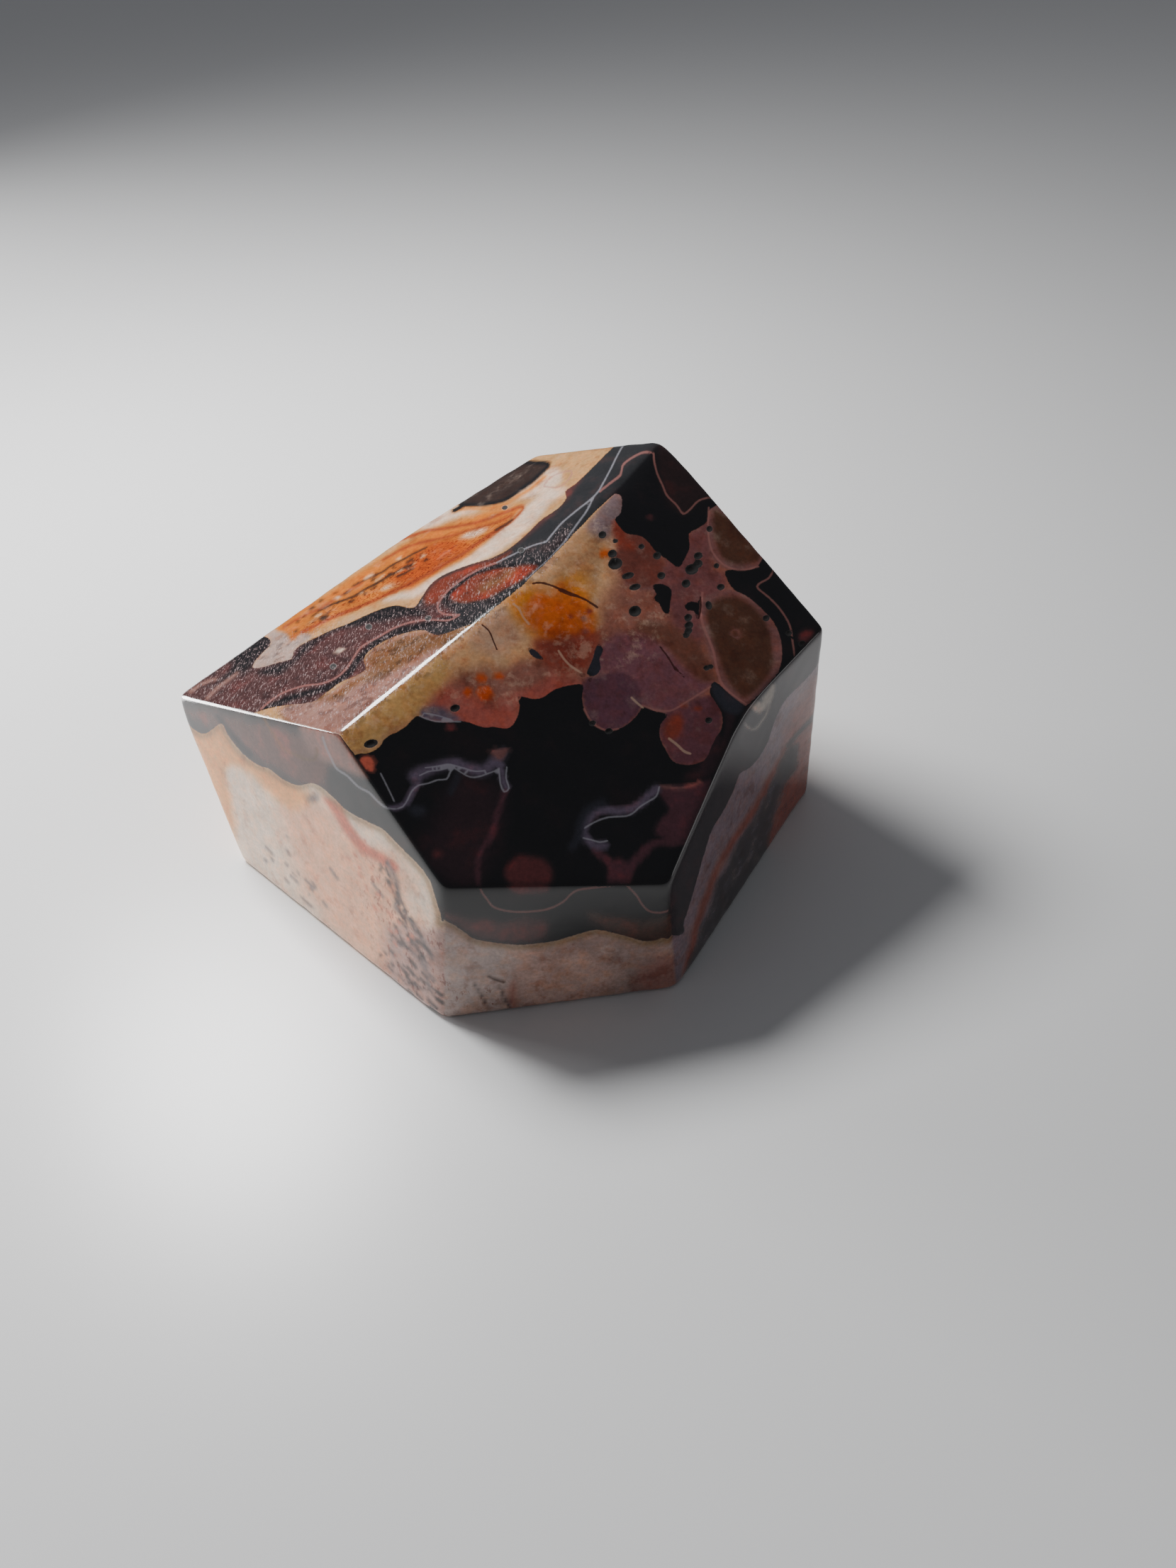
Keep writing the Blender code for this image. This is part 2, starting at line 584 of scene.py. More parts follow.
def left_top_marks():
    """The upper left facet: cream and rust bands beside the rim, then a dark band along the ridge."""
    return [
        area("ground", "light", "cream_top", 1, "180,1050 600,1150 1050,650 950,540 600,560 180,900"),
        area("band_zone", "light", "golden", 0.9, "398,884 430,858 480,822 540,785 600,750 650,733 "
             "700,720 738,714 734,727 718,744 690,768 650,792 600,820 550,838 500,860 460,880 430,892"),
        oval("pale_island", "light", "notch_grey", 0.5, "436,872", "34,14", -32),
        oval("pale_island_up", "light", "cream_white", 0.6, "668,752", "44,9", -22),
        oval("pale_island_mid", "light", "cream_white", 0.6, "560,822", "50,7", -24),
        area("pale_seam", "light", "cream_white", 0.7, "600,838 650,806 700,780 745,745 775,712 800,690 "
             "770,690 735,722 700,752 650,790 590,826 540,848"),
        area("white_rim", "light", "cream_white", 0.7, "600,748 650,728 700,712 752,700 790,680 780,660 "
             "730,690 690,706 640,716 600,735"),
        oval("orange_heart", "light", "orange", 1.6, "605,792", "120,34", -30),
        oval("orange_core", "light", "orange", 0.8, "622,776", "36,20", -25),
        oval("grey_patch", "light", "cream_white", 0.8, "482,783", "46,16", -28),
        area("white_wedge", "light", "notch_grey", 0.6, "360,880 395,888 420,890 440,896 420,914 412,932 "
             "385,940 352,948 366,925 380,905"),
        area("rust_left", "light", "golden", 0.5, "388,886 410,868 440,850 462,862 440,876 424,890 "
             "412,903 402,893"),
        stroke("flame_outer", "light", "rust", 0.28, 4, "560,762 600,750 640,743 680,735 715,722 738,715 "
               "730,728 705,747 680,762 650,782 610,806 570,826 520,850 470,870 425,892"),
        stroke("flame_middle", "light", "rust", 0.35, 3, "590,766 630,757 665,747 700,737 722,727"),
        stroke("flame_inner", "light", "rust", 0.28, 4, "560,832 600,812 640,788 675,764 700,748 722,735"),
        stroke("band_a", "light", "umber", 0.25, 3, "448,862 470,852 498,841 516,830 540,817 562,805 "
               "583,796"),
        stroke("band_b", "light", "umber", 0.25, 2.5, "500,826 520,815 540,806 553,797 578,784 602,772"),
        stroke("band_c", "light", "umber", 0.25, 2.5, "560,813 572,808 584,801"),
        stroke("band_d", "light", "rust", 0.3, 3, "400,884 430,868 452,858 480,840 510,822"),
        stroke("band_e", "light", "rust", 0.3, 2.5, "430,888 470,872 500,860 530,845 560,835"),
        stroke("band_f", "light", "umber", 0.3, 3, "700,747 712,741 722,734"),
        stroke("band_g", "light", "rust", 0.3, 3, "540,790 560,778 585,768 612,762"),
        oval("ring_spot", "light", "umber", 0.3, "456,871", "16,7", -25),
        area("eye", "light", "eye_brown", 0.15, "650,714 664,696 688,676 716,658 745,652 773,655 760,670 "
             "740,686 715,703 690,711 668,711"),
        stroke("eye_rim", "light", "near_black", 0.3, 5, "650,712 664,694 688,674 716,656 745,652 773,655 "
               "760,670 740,687 715,704 690,711 652,712"),
        stroke("eye_glow", "light", "golden", 0.5, 4, "640,722 662,717 690,717 718,709 745,691 768,672"),
        stroke("eye_tail", "light", "near_black", 0.2, 5, "640,721 651,715"),
        area("tan_ground", "light", "tan", 0.8, "470,972 500,950 520,925 545,905 580,893 612,893 680,872 "
             "740,836 790,780 900,700 620,1060 440,1080 400,1005"),
        oval("tan_body", "light", "tan", 0.8, "562,922", "110,44", -24),
        area("pink_by_rim", "light", "pink_brown", 0.8, "392,1002 430,990 470,985 505,965 540,955 600,920 "
             "640,915 560,975 480,1040 430,1030"),
        stroke("tan_rim", "light", "pink_brown", 0.5, 3, "612,895 598,891 575,895 558,901 540,910 524,921 "
               "518,933 524,944 506,955 484,966 464,980 452,992"),
        dark("dark_zone", "180,1000 230,960 300,925 345,895 379,900 380,911 370,921 361,931 356,941 "
             "366,942 387,936 411,929 414,919 422,911 440,902 464,890 485,882 503,874 522,865 543,857 "
             "560,854 583,857 595,842 606,826 625,811 660,797 690,788 715,776 740,756 752,744 765,732 "
             "788,716 799,702 797,693 812,682 830,665 850,645 868,626 890,590 1010,560 1010,640 905,668 "
             "862,706 838,726 800,764 764,806 742,822 720,843 700,860 680,872 650,885 618,896 598,889 "
             "575,892 556,898 538,907 520,919 513,932 516,944 502,953 480,963 460,977 440,990 410,994 "
             "380,999 340,1010 200,1040"),
        area("dark_ground", "deep", "maroon", 1, "150,1100 700,1100 1100,600 700,560 150,900"),
        area("ridge_band", "deep", "ridge_grey", 0.7, "585,850 640,802 700,785 750,752 800,706 868,620 "
             "1020,560 1020,660 880,690 800,775 735,838 650,890 600,896 560,893 600,880 640,868 622,850 "
             "640,825 700,797 690,792 640,812 605,850"),
        area("rusty_seam", "deep", "red_brown", 0.6, "598,850 606,830 640,808 690,792 720,778 700,796 "
             "660,812 628,834 616,852"),
        area("red_nodule", "deep", "red_brown", 0.35, "640,848 634,838 650,824 672,810 700,802 740,797 "
             "758,796 742,812 718,828 690,843 662,850"),
        oval("nodule_shine", "deep", "tan", 1.6, "700,822", "60,16", -28),
        area("tip_black", "deep", "near_black", 1.0, "300,925 350,895 382,898 370,922 350,945 320,960 "
             "300,975 330,935"),
        area("mid_black", "deep", "near_black", 0.9, "366,948 392,938 416,930 430,908 460,892 450,905 "
             "420,930 396,948"),
        area("seam_black", "deep", "near_black", 0.8, "450,880 500,862 550,852 588,858 600,868 560,872 "
             "500,882 460,892"),
        stroke("under_line", "deep", "near_black", 0.4, 8, "640,872 600,882 560,892 525,910 505,932 "
               "494,948 462,970 430,979 400,988 375,1000"),
        stroke("nodule_edge", "deep", "near_black", 0.25, 5, "650,857 630,850 632,838 650,822 672,808 "
               "700,800 728,797"),
        stroke("tip_streak", "deep", "pink_brown", 0.5, 5, "268,975 285,965 302,960"),
        stroke("tip_streak_low", "deep", "pink_brown", 0.5, 4, "292,985 310,968 335,950"),
        oval("white_spot", "deep", "cream_white", 0.3, "479,918", "15,6", -25),
        # pale scratch lines along the ridge, painted whiter as sheen where they catch the light
        line("ridge_line", "white", 1.8, "886,616 872,640 862,660 850,682 838,699 804,727 789,741 770,764"),
        line("ridge_line_low", "white", 1.6, "770,764 750,770 722,783 700,794"),
        line("ridge_twin", "white", 1.6, "838,699 826,720 812,738 797,758 776,782 756,802 742,816"),
        line("loop_line", "pink", 2.6, "700,794 680,801 655,815 636,829 622,845 617,857 625,866 648,867"),
        line("lower_line", "pink", 2.4, "648,867 632,875 602,874 578,878 555,886 538,896 518,907 508,914 "
             "499,927 490,941 478,953 464,961 450,965 430,967 402,976 385,986 368,1000"),
        line("apex_line", "pink", 2.6, "845,693 858,682 875,668 878,656 892,645 908,637 921,636"),
        line("almond", "pink", 2.4, "767,686 772,678 785,669 806,664 803,675 788,687 767,686"),
        area("sparkling", "sparkle", "", 1.5, "230,990 330,915 560,858 640,815 740,775 800,760 760,830 "
             "620,905 560,965 450,1020 300,1010"),
        area("orange_bands", "bands", "", 1.0, "430,880 500,835 580,785 640,755 700,735 728,722 700,752 "
             "650,785 600,815 520,852 450,884"),
        # scuffs along the ridge, roughened, with glints painted into the colour
        stroke("ridge_scuffs_and_glints", "sparkle", "", 1.0, 30, "450,1050 560,968 640,908 700,858 760,800 800,755"),
    ]


def main_marks():
    """The large sloping face: honey and pink above, black below, with round nodules and open pits."""
    dots = (("dot_orange", 0.35, "679,957", "14,12"),
            ("dot_orange", 0.4, "702,954", "12,9"),
            ("dot_orange", 0.4, "661,977", "12,12"),
            ("dot_orange", 0.4, "684,978", "22,22"),
            ("glow_orange", 0.4, "853,781", "15,13"),
            ("orange_red", 0.5, "805,868", "7,6"),
            ("orange_red", 0.3, "831,862", "9,7"),
            ("orange_red", 0.3, "823,871", "7,6"),
            ("orange_red", 0.5, "824,890", "13,9"),
            ("orange_red", 0.3, "835,894", "6,5"))
    return [
        area("ground", "light", "pink_mid", 1, "300,900 300,1400 1300,1400 1300,500 800,500"),
        area("cream_side", "light", "cream_mid", 2.2, "410,1060 470,1030 570,950 700,840 760,790 805,740 "
             "850,700 858,760 872,800 884,850 866,880 800,905 745,935 700,945 655,952 615,985 590,1012 "
             "560,1038 520,1066 480,1085"),
        area("honey_side", "light", "honey_strip", 1.8, "410,1060 470,1028 560,960 612,925 632,950 "
             "612,985 588,1012 560,1036 530,1060 480,1085"),
        oval("grey_cloud", "light", "grey_cream", 1.8, "706,888", "84,60", -35),
        area("beige_side", "light", "beige", 1.2, "780,815 800,752 842,712 856,750 850,800 838,850 810,840"),
        oval("gold_upper", "light", "honey_gold", 3.0, "812,836", "44,50", 20),
        oval("gold_left", "light", "honey_gold", 2.2, "748,862", "50,70", -20),
        oval("orange_glow", "light", "glow_orange", 2.8, "788,874", "100,80", 15),
        oval("orange_deep", "light", "glow_orange", 1.0, "765,862", "46,44", 10),
        area("orange_low", "light", "orange_red", 1.8, "752,908 800,893 848,888 842,918 826,944 792,948 "
             "764,934"),
        area("salmon_low", "light", "salmon", 1.8, "604,992 640,970 690,992 735,960 765,948 800,952 "
             "824,964 800,980 767,992 734,990 733,1020 713,1036 680,1034 650,1026 612,1010"),
        oval("pink_shelf", "light", "pink_mid", 1.2, "738,955", "70,34", -10),
        area("white_corner", "light", "white_pink", 1.6, "830,740 850,700 872,692 880,704 876,728 866,744 "
             "850,760"),
        area("orange_foot", "light", "orange_red", 0.4, "864,732 874,733 884,752 876,764 864,752"),
        area("pink_middle", "light", "pink_mid", 3.0, "886,800 900,830 930,850 960,890 920,910 860,920 "
             "848,880"),
        area("dusk_middle", "light", "dusk_pink", 1.2, "936,800 970,755 1003,735 1006,800 1025,812 "
             "1012,850 990,905 958,895 936,850 920,830"),
        area("orange_nodule", "light", "nodule_orange", 0.3, "868,778 880,760 904,752 920,764 933,785 "
             "937,806 926,823 905,829 884,820 872,803"),
        oval("orange_cap", "light", "orange_red", 0.8, "884,768", "30,18", 20),
        area("brown_field", "light", "streak_brown", 1.0, "905,872 955,886 990,915 1006,958 985,962 "
             "955,925 925,902 900,890"),
        area("mauve_field", "light", "dusty_mauve", 1.0, "846,912 880,892 925,900 955,928 985,960 "
             "1004,966 990,978 950,1003 935,1004 906,994 892,962 862,950 840,948"),
        area("tan_upper_rim", "light", "rim_pink", 0.3, "1001,716 1016,706 1080,785 1062,802 1040,805 "
             "1018,798 1003,782 998,750"),
        area("tan_upper", "light", "tan_nodule", 0.5, "1012,720 1072,782 1050,796 1026,790 1010,768 "
             "1006,742"),
        area("tan_lower_rim", "light", "rim_pink", 0.3, "1008,836 1032,832 1056,842 1080,863 1096,884 "
             "1104,908 1103,938 1094,964 1062,1002 1038,986 1020,970 1010,945 1000,920 994,895 987,868 "
             "990,848"),
        area("tan_lower", "light", "tan_nodule", 0.7, "1008,850 1034,843 1058,854 1078,874 1088,900 "
             "1090,930 1080,958 1056,982 1036,972 1022,950 1012,920 1003,892 998,868"),
        area("lavender_nodule", "light", "lavender", 0.25, "824,960 845,952 880,950 900,966 906,990 "
             "898,1010 880,1026 858,1031 838,1022 826,1004 821,982"),
        area("pink_round", "light", "pink_nodule", 0.3, "935,1010 952,1000 985,985 1008,982 1020,1006 "
             "1018,1028 1008,1050 996,1072 972,1080 950,1074 938,1055 930,1035"),
        oval("orange_patch", "light", "orange_red", 0.8, "950,1026", "26,40", 20),
        oval("red_speck_a", "light", "orange_red", 0.4, "963,996", "12,6", 10),
        oval("red_speck_b", "light", "orange_red", 0.4, "984,1000", "14,7", 10),
        area("feather", "light", "lilac", 0.8, "594,1002 611,994 634,1004 652,1016 630,1019 613,1016 "
             "598,1012"),
        stroke("rim_orange_nodule", "light", "rim_pink", 0.25, 3, "937,800 935,816 922,827 904,830 884,822"),
        stroke("cream_edge", "light", "beige", 0.3, 6, "490,1062 515,1058 536,1048 550,1035 574,1020 "
               "588,1008"),
        *[oval(f"dot_{index}", "light", *dot) for index, dot in enumerate(dots)],
        oval("ring_mark", "light", "rim_pink", 0.2, "1039,893", "14,14"),
        oval("ring_middle", "light", "tan_nodule", 0.2, "1038,893", "9,9"),
        dark("lower_black", "440,1100 495,1067 520,1062 536,1053 541,1044 550,1037 563,1031 574,1023 "
             "588,1010 600,1014 614,1018 630,1019 650,1017 664,1020 682,1026 697,1025 713,1028 723,1023 "
             "731,1008 733,995 731,983 742,984 754,986 767,983 782,973 802,967 822,966 821,985 826,1005 "
             "838,1022 857,1031 880,1025 898,1010 908,996 922,1003 941,1008 932,1022 931,1040 939,1057 "
             "950,1074 972,1079 994,1072 1003,1055 1010,1040 1018,1028 1019,1008 1010,990 1002,976 "
             "1008,961 1030,978 1058,997 1090,1020 1010,1200 960,1310 620,1310 500,1170"),
        dark("apex_black", "850,690 866,692 877,700 876,722 868,732 876,745 885,753 903,756 914,764 "
             "926,779 941,789 957,800 966,788 973,772 972,753 985,745 998,735 1000,720 1012,712 1050,680 "
             "960,580 890,590 840,680"),
        dark("right_black", "1023,806 1038,803 1055,804 1068,799 1077,786 1100,750 1210,870 1110,970 "
             "1098,955 1103,930 1102,905 1094,882 1078,862 1055,842 1036,832 1026,818"),
        dark("star", "921,826 934,824 947,832 946,848 943,866 935,862 929,850 921,846 926,838"),
        dark("slate_patch", "845,908 851,916 846,930 847,944 838,954 828,950 836,930 840,915"),
        dark("fissure_patch", "966,854 975,848 984,850 988,842 988,864 984,874 979,862 970,861"),
        dark("small_slate", "746,914 758,919 766,930 757,929 748,923"),
        area("dark_ground", "deep", "near_black", 1, "300,500 1300,500 1300,1400 300,1400"),
        area("red_veil", "deep", "dark_red", 3.0, "650,1100 705,1110 702,1180 680,1260 640,1260 600,1200 "
             "615,1150"),
        oval("reddish_nodule", "deep", "reddish", 0.9, "747,1232", "66,54"),
        oval("red_stain", "deep", "reddish", 0.8, "616,1202", "14,10"),
        area("pink_right", "deep", "pink_branch", 0.6, "932,1112 985,1104 1004,1100 985,1160 965,1190 "
             "944,1184 925,1175 930,1158 944,1142 934,1128"),
        stroke("branch_right", "deep", "pink_branch", 0.5, 15, "963,1186 926,1192 902,1208 888,1226 "
               "880,1260"),
        stroke("branch_left", "deep", "pink_branch", 0.5, 12, "840,1200 856,1213 870,1228"),
        stroke("branch_foot", "deep", "pink_branch", 0.6, 30, "872,1226 871,1262"),
        oval("blue_black", "deep", "near_black", 0.6, "936,1218", "44,50", -20),
        stroke("right_arc", "deep", "dark_red", 0.6, 12, "1022,985 1032,1010 1024,1050 1005,1085"),
        area("purple_arc", "deep", "dark_red", 1.0, "1010,1030 1020,1060 1000,1095 960,1095 985,1080"),
        area("wedge", "deep", "slate", 0.5, "1004,974 1008,962 1030,978 1052,994 1040,1008 1020,998"),
        oval("slate_tone", "deep", "slate", 0.5, "840,932", "26,50"),
        oval("small_tone", "deep", "slate", 0.5, "756,922", "30,20"),
        area("apex_tint", "deep", "apex_maroon", 1.0, "925,640 942,698 964,724 990,706 1030,690 955,590"),
        oval("apex_spot", "deep", "reddish", 0.5, "917,730", "9,7"),
        oval("right_spot", "deep", "reddish", 0.7, "1138,898", "24,18", -20),
        area("small_red", "deep", "red_nodule", 0.3, "506,1072 513,1066 524,1068 529,1078 526,1089 "
             "517,1087 511,1080"),
        oval("red_fleck", "deep", "reddish", 0.4, "635,1025", "15,9"),
        oval("grey_blob", "deep", "slate", 0.9, "588,1146", "26,18"),
        stroke("grey_trace", "deep", "slate", 0.5, 7, "646,1094 642,1105 636,1117"),
        stroke("lilac_band", "deep", "lilac", 0.8, 16, "582,1094 605,1086 640,1078 655,1082 680,1086 "
               "696,1074 708,1064"),
        stroke("lilac_leg", "deep", "lilac", 0.35, 10, "706,1076 709,1095 714,1113"),
        area("flag", "deep", "rim_pink", 0.3, "690,1059 717,1056 711,1069 700,1071"),
        stroke("lilac_foot", "deep", "lilac", 0.4, 9, "545,1140 562,1139 574,1132 580,1118 590,1104"),
        stroke("pink_thread", "deep", "pink_branch", 0.4, 8, "712,1116 706,1135 700,1152 696,1170 "
               "690,1186 679,1200 674,1226 677,1256"),
        stroke("pink_hook", "deep", "rim_pink", 0.35, 4, "930,1108 945,1111 961,1111 976,1108 988,1103"),
        stroke("second_lilac", "deep", "lilac", 0.5, 12, "926,1112 908,1131 890,1142 870,1145 850,1143 "
               "836,1151 827,1164 824,1178 836,1191 852,1192"),
        stroke("second_shade", "deep", "slate", 0.8, 12, "848,1134 833,1142 822,1160 816,1180 808,1196"),
        line("fray_foot", "white", 2, "540,1140 556,1141 568,1138 575,1128 581,1116 590,1108 604,1105 "
             "618,1100 630,1099 636,1088 641,1083"),
        line("fray_upper", "white", 1.6, "592,1094 606,1088 622,1086 640,1081"),
        line("fray_top", "white", 1.5, "600,1083 616,1081 632,1078 642,1080 656,1084 670,1088 684,1087"),
        line("fray_right", "white", 1.8, "641,1083 651,1090 663,1096 674,1096 686,1092 697,1088 704,1084"),
        line("fray_leg", "white", 2, "715,1082 714,1098 718,1112 711,1117 706,1106 704,1086"),
        line("second_line", "white", 2.2, "930,1110 926,1123 914,1131 903,1138 893,1147 884,1151 870,1152 "
             "858,1153 845,1157 833,1163 825,1168"),
        line("second_hook", "white", 2, "823,1182 835,1185 846,1188 857,1186"),
        line("feather_a", "white", 1.6, "592,1010 604,1015 618,1018 634,1018 650,1018"),
        line("feather_b", "white", 1.4, "598,1006 612,1008 630,1013 648,1018"),
        line("scratch_a", "white", 2, "537,1091 545,1107 556,1130"),
        line("apex_line", "pink", 2.6, "908,637 921,636 923,650 927,667 935,685 941,699 955,713 964,725 "
             "975,717 986,706 1006,700"),
        line("right_line", "pink", 2.6, "1093,800 1085,815 1068,827 1085,843 1101,860 1114,882 1118,904 "
             "1122,930"),
        line("tan_rim_line", "pink", 3.5, "991,836 988,860 992,882 1001,904 1007,921 1012,946 1020,966 "
             "1038,983 1062,999"),
        line("tan_top_line", "pink", 2.6, "1000,716 999,750 1005,778 1022,797 1045,804 1070,799"),
        line("mauve_line", "pink", 2.6, "906,995 922,1001 936,1003 950,1001 975,986 1003,968"),
        line("lavender_line", "pink", 3, "824,1000 836,1020 855,1030 872,1028"),
        line("main_crack", "crack", 3, "752,821 765,821 778,825 790,830 804,836 815,840 829,847 843,856"),
        line("crack_belly", "crack", 5.5, "790,831 802,836 813,840"),
        line("short_crack", "crack", 2.2, "680,880 690,890 695,901 701,916"),
        line("thin_crack_a", "crack", 2.4, "932,912 942,925 949,936 954,945"),
        line("thin_crack_b", "crack", 2.2, "953,940 960,948 966,954"),
        line("fissure_side", "crack", 2.4, "988,842 989,856 986,872"),
        line("fissure_a", "pale", 3, "724,851 732,858 738,870 746,880"),
        line("fissure_b", "pale", 3, "788,918 796,930 806,940 822,950"),
        line("fissure_c", "pale", 3.5, "944,1042 957,1052 965,1060 974,1063"),
        line("fissure_d", "pale", 3, "891,984 898,991 907,998"),
        line("fissure_e", "pale", 2.5, "664,877 678,881 687,890"),
        spot("red_end", "crack", "822,952", "9,6"),
        spot("red_end_low", "crack", "833,959", "6,6"),
        area("main_veil", "veil", "", 2.0, "430,1070 560,975 700,850 800,760 850,710 880,800 930,850 "
             "940,900 900,940 800,950 740,990 620,1000 520,1060"),
        area("main_sparkle", "sparkle", "", 1.0, "440,1070 560,985 640,925 700,875 760,818 800,770 "
             "780,740 440,1000"),
    ]


def front_marks():
    """The small front wall: a dark band under the rim, and pale peach stone below it."""
    return [
        area("ground", "light", "front_cream", 1, "540,1180 540,1520 1060,1500 1060,1160"),
        area("pale_left", "light", "front_pale", 2, "600,1320 660,1330 720,1345 728,1400 700,1460 590,1470"),
        area("peach_middle", "light", "front_peach", 3, "735,1350 790,1345 850,1352 862,1400 800,1440 "
             "738,1420"),
        area("red_right", "light", "front_red", 2.4, "902,1366 940,1356 990,1362 985,1410 930,1420 "
             "895,1402"),
        oval("stain", "light", "stain", 1.0, "725,1408", "12,46"),
        area("front_mottle", "mottle", "", 1.5, "600,1370 650,1390 700,1400 700,1450 600,1470"),
        stroke("eye_ring", "light", "front_pale", 0.25, 2.5, "848,1340 853,1336 860,1335 867,1337 "
               "870,1340 865,1344 857,1345 850,1343 848,1340"),
        oval("front_spot", "light", "fleck_grey", 0.4, "922,1324", "16,8", -10),
        stroke("feather_left", "light", "fleck_grey", 0.4, 2, "669,1388 677,1402 687,1422"),
        stroke("feather_right", "light", "fleck_grey", 0.4, 2, "706,1393 712,1408 721,1427"),
        stroke("hair_crack", "light", "front_brown", 0.3, 2, "690,1378 700,1383 711,1386"),
        dark("front_band", "590,1150 608,1240 615,1280 625,1300 640,1306 655,1315 670,1325 700,1330 "
             "730,1333 760,1331 785,1327 805,1321 822,1316 840,1312 856,1314 881,1320 911,1328 933,1324 "
             "955,1317 1020,1230 990,1140 700,1130"),
        area("dark_ground", "deep", "front_dark", 1, "500,1100 500,1500 1100,1500 1100,1100"),
        area("reddish_low", "deep", "front_pink", 1.4, "630,1288 700,1298 765,1296 768,1325 700,1330 "
             "640,1306"),
        area("brown_low", "deep", "front_brown", 1.2, "830,1286 900,1296 955,1290 952,1328 890,1326 "
             "836,1300"),
        oval("nodule_foot", "deep", "reddish", 0.7, "746,1252", "60,22"),
        line("pink_left", "pink", 3, "674,1235 678,1255 688,1270 697,1280 720,1286 750,1286 775,1282 "
             "795,1272 805,1262 815,1256 835,1253 865,1250"),
        line("pink_right", "pink", 3, "885,1250 893,1258 900,1266 905,1275 915,1285 930,1288 950,1285"),
    ]


def left_marks():
    """The long left wall: a grey and brown band along the rim, then orange, white and pink layers."""
    dashes = {"dash_a": "425,1265 440,1280", "dash_b": "430,1240 445,1255", "dash_c": "410,1235 420,1246",
              "dash_d": "465,1225 476,1240", "dash_e": "525,1245 541,1266", "dash_f": "375,1195 384,1206"}
    return [
        area("ground", "light", "wall_white", 1, "180,950 180,1500 760,1500 760,950"),
        area("peach_layer", "light", "wall_orange", 1.2, "240,1000 312,1022 340,1066 384,1086 425,1112 "
             "440,1130 424,1150 384,1120 348,1090 321,1086 319,1151 296,1130 260,1060"),
        area("orange_edge", "light", "wall_orange", 1.2, "232,985 258,1018 292,1052 316,1092 328,1140 "
             "330,1196 312,1190 230,1040"),
        area("peach_low", "light", "wall_peach", 3.0, "400,1150 460,1140 500,1180 560,1220 590,1290 "
             "620,1380 560,1390 470,1310 420,1230"),
        area("mottled", "light", "mottle_grey", 2.0, "540,1308 600,1312 640,1330 640,1450 560,1410"),
        oval("grey_spot", "light", "vein_grey", 1.0, "440,1127", "16,9"),
        area("red_stripe", "light", "stripe_red", 0.6, "456,1126 476,1134 494,1160 516,1190 540,1207 "
             "562,1222 556,1230 530,1216 506,1200 488,1176 470,1148"),
        stroke("grey_vein", "light", "vein_grey", 0.7, 5, "545,1218 556,1236 562,1262 558,1278 581,1299 "
               "592,1321 608,1354"),
        stroke("lower_vein", "light", "vein_grey", 0.7, 5, "562,1330 580,1342 600,1366 607,1392"),
    ] + [stroke(name, "light", "vein_grey", 0.35, 2.5, path) for name, path in dashes.items()] + [
        dark("left_band", "190,940 232,990 255,1012 275,1030 290,1035 312,1021 320,1035 335,1055 350,1070 "
             "365,1080 380,1085 400,1100 420,1108 440,1105 455,1112 470,1125 485,1140 500,1150 520,1160 "
             "540,1170 555,1185 570,1200 590,1220 605,1240 612,1260 620,1290 628,1305 700,1310 680,1240 "
             "560,1080 490,990 300,930"),
        area("band_ground", "deep", "band_grey", 1, "150,900 150,1400 800,1400 800,900"),
        area("green_end", "deep", "band_green", 1.8, "470,1070 560,1130 640,1240 640,1310 560,1210 480,1130"),
        area("brown_layer", "deep", "band_brown", 1.2, "260,1000 400,1030 460,1070 450,1112 400,1090 "
             "330,1045"),
        area("pink_by_ridge", "deep", "pink_brown", 1.0, "425,1024 478,1032 500,1066 520,1100 470,1080 "
             "436,1058"),
        stroke("dark_layer", "deep", "near_black", 0.6, 6, "308,1010 325,1035 350,1062"),
        stroke("tan_thread", "deep", "tan", 0.35, 3.5, "370,1012 385,1035 400,1055 420,1065 435,1072 "
               "446,1070 448,1058"),
        area("left_mottle", "mottle", "", 3.0, "520,1190 560,1220 600,1300 640,1400 560,1400 500,1260"),
        area("foot_mottle", "mottle", "", 1.5, "540,1300 600,1310 640,1330 650,1460 580,1440 540,1390"),
        line("white_vein", "white", 3, "455,1040 460,1055 468,1072 475,1085 490,1095 505,1110 520,1118 "
             "530,1128 545,1140 566,1143"),
    ]


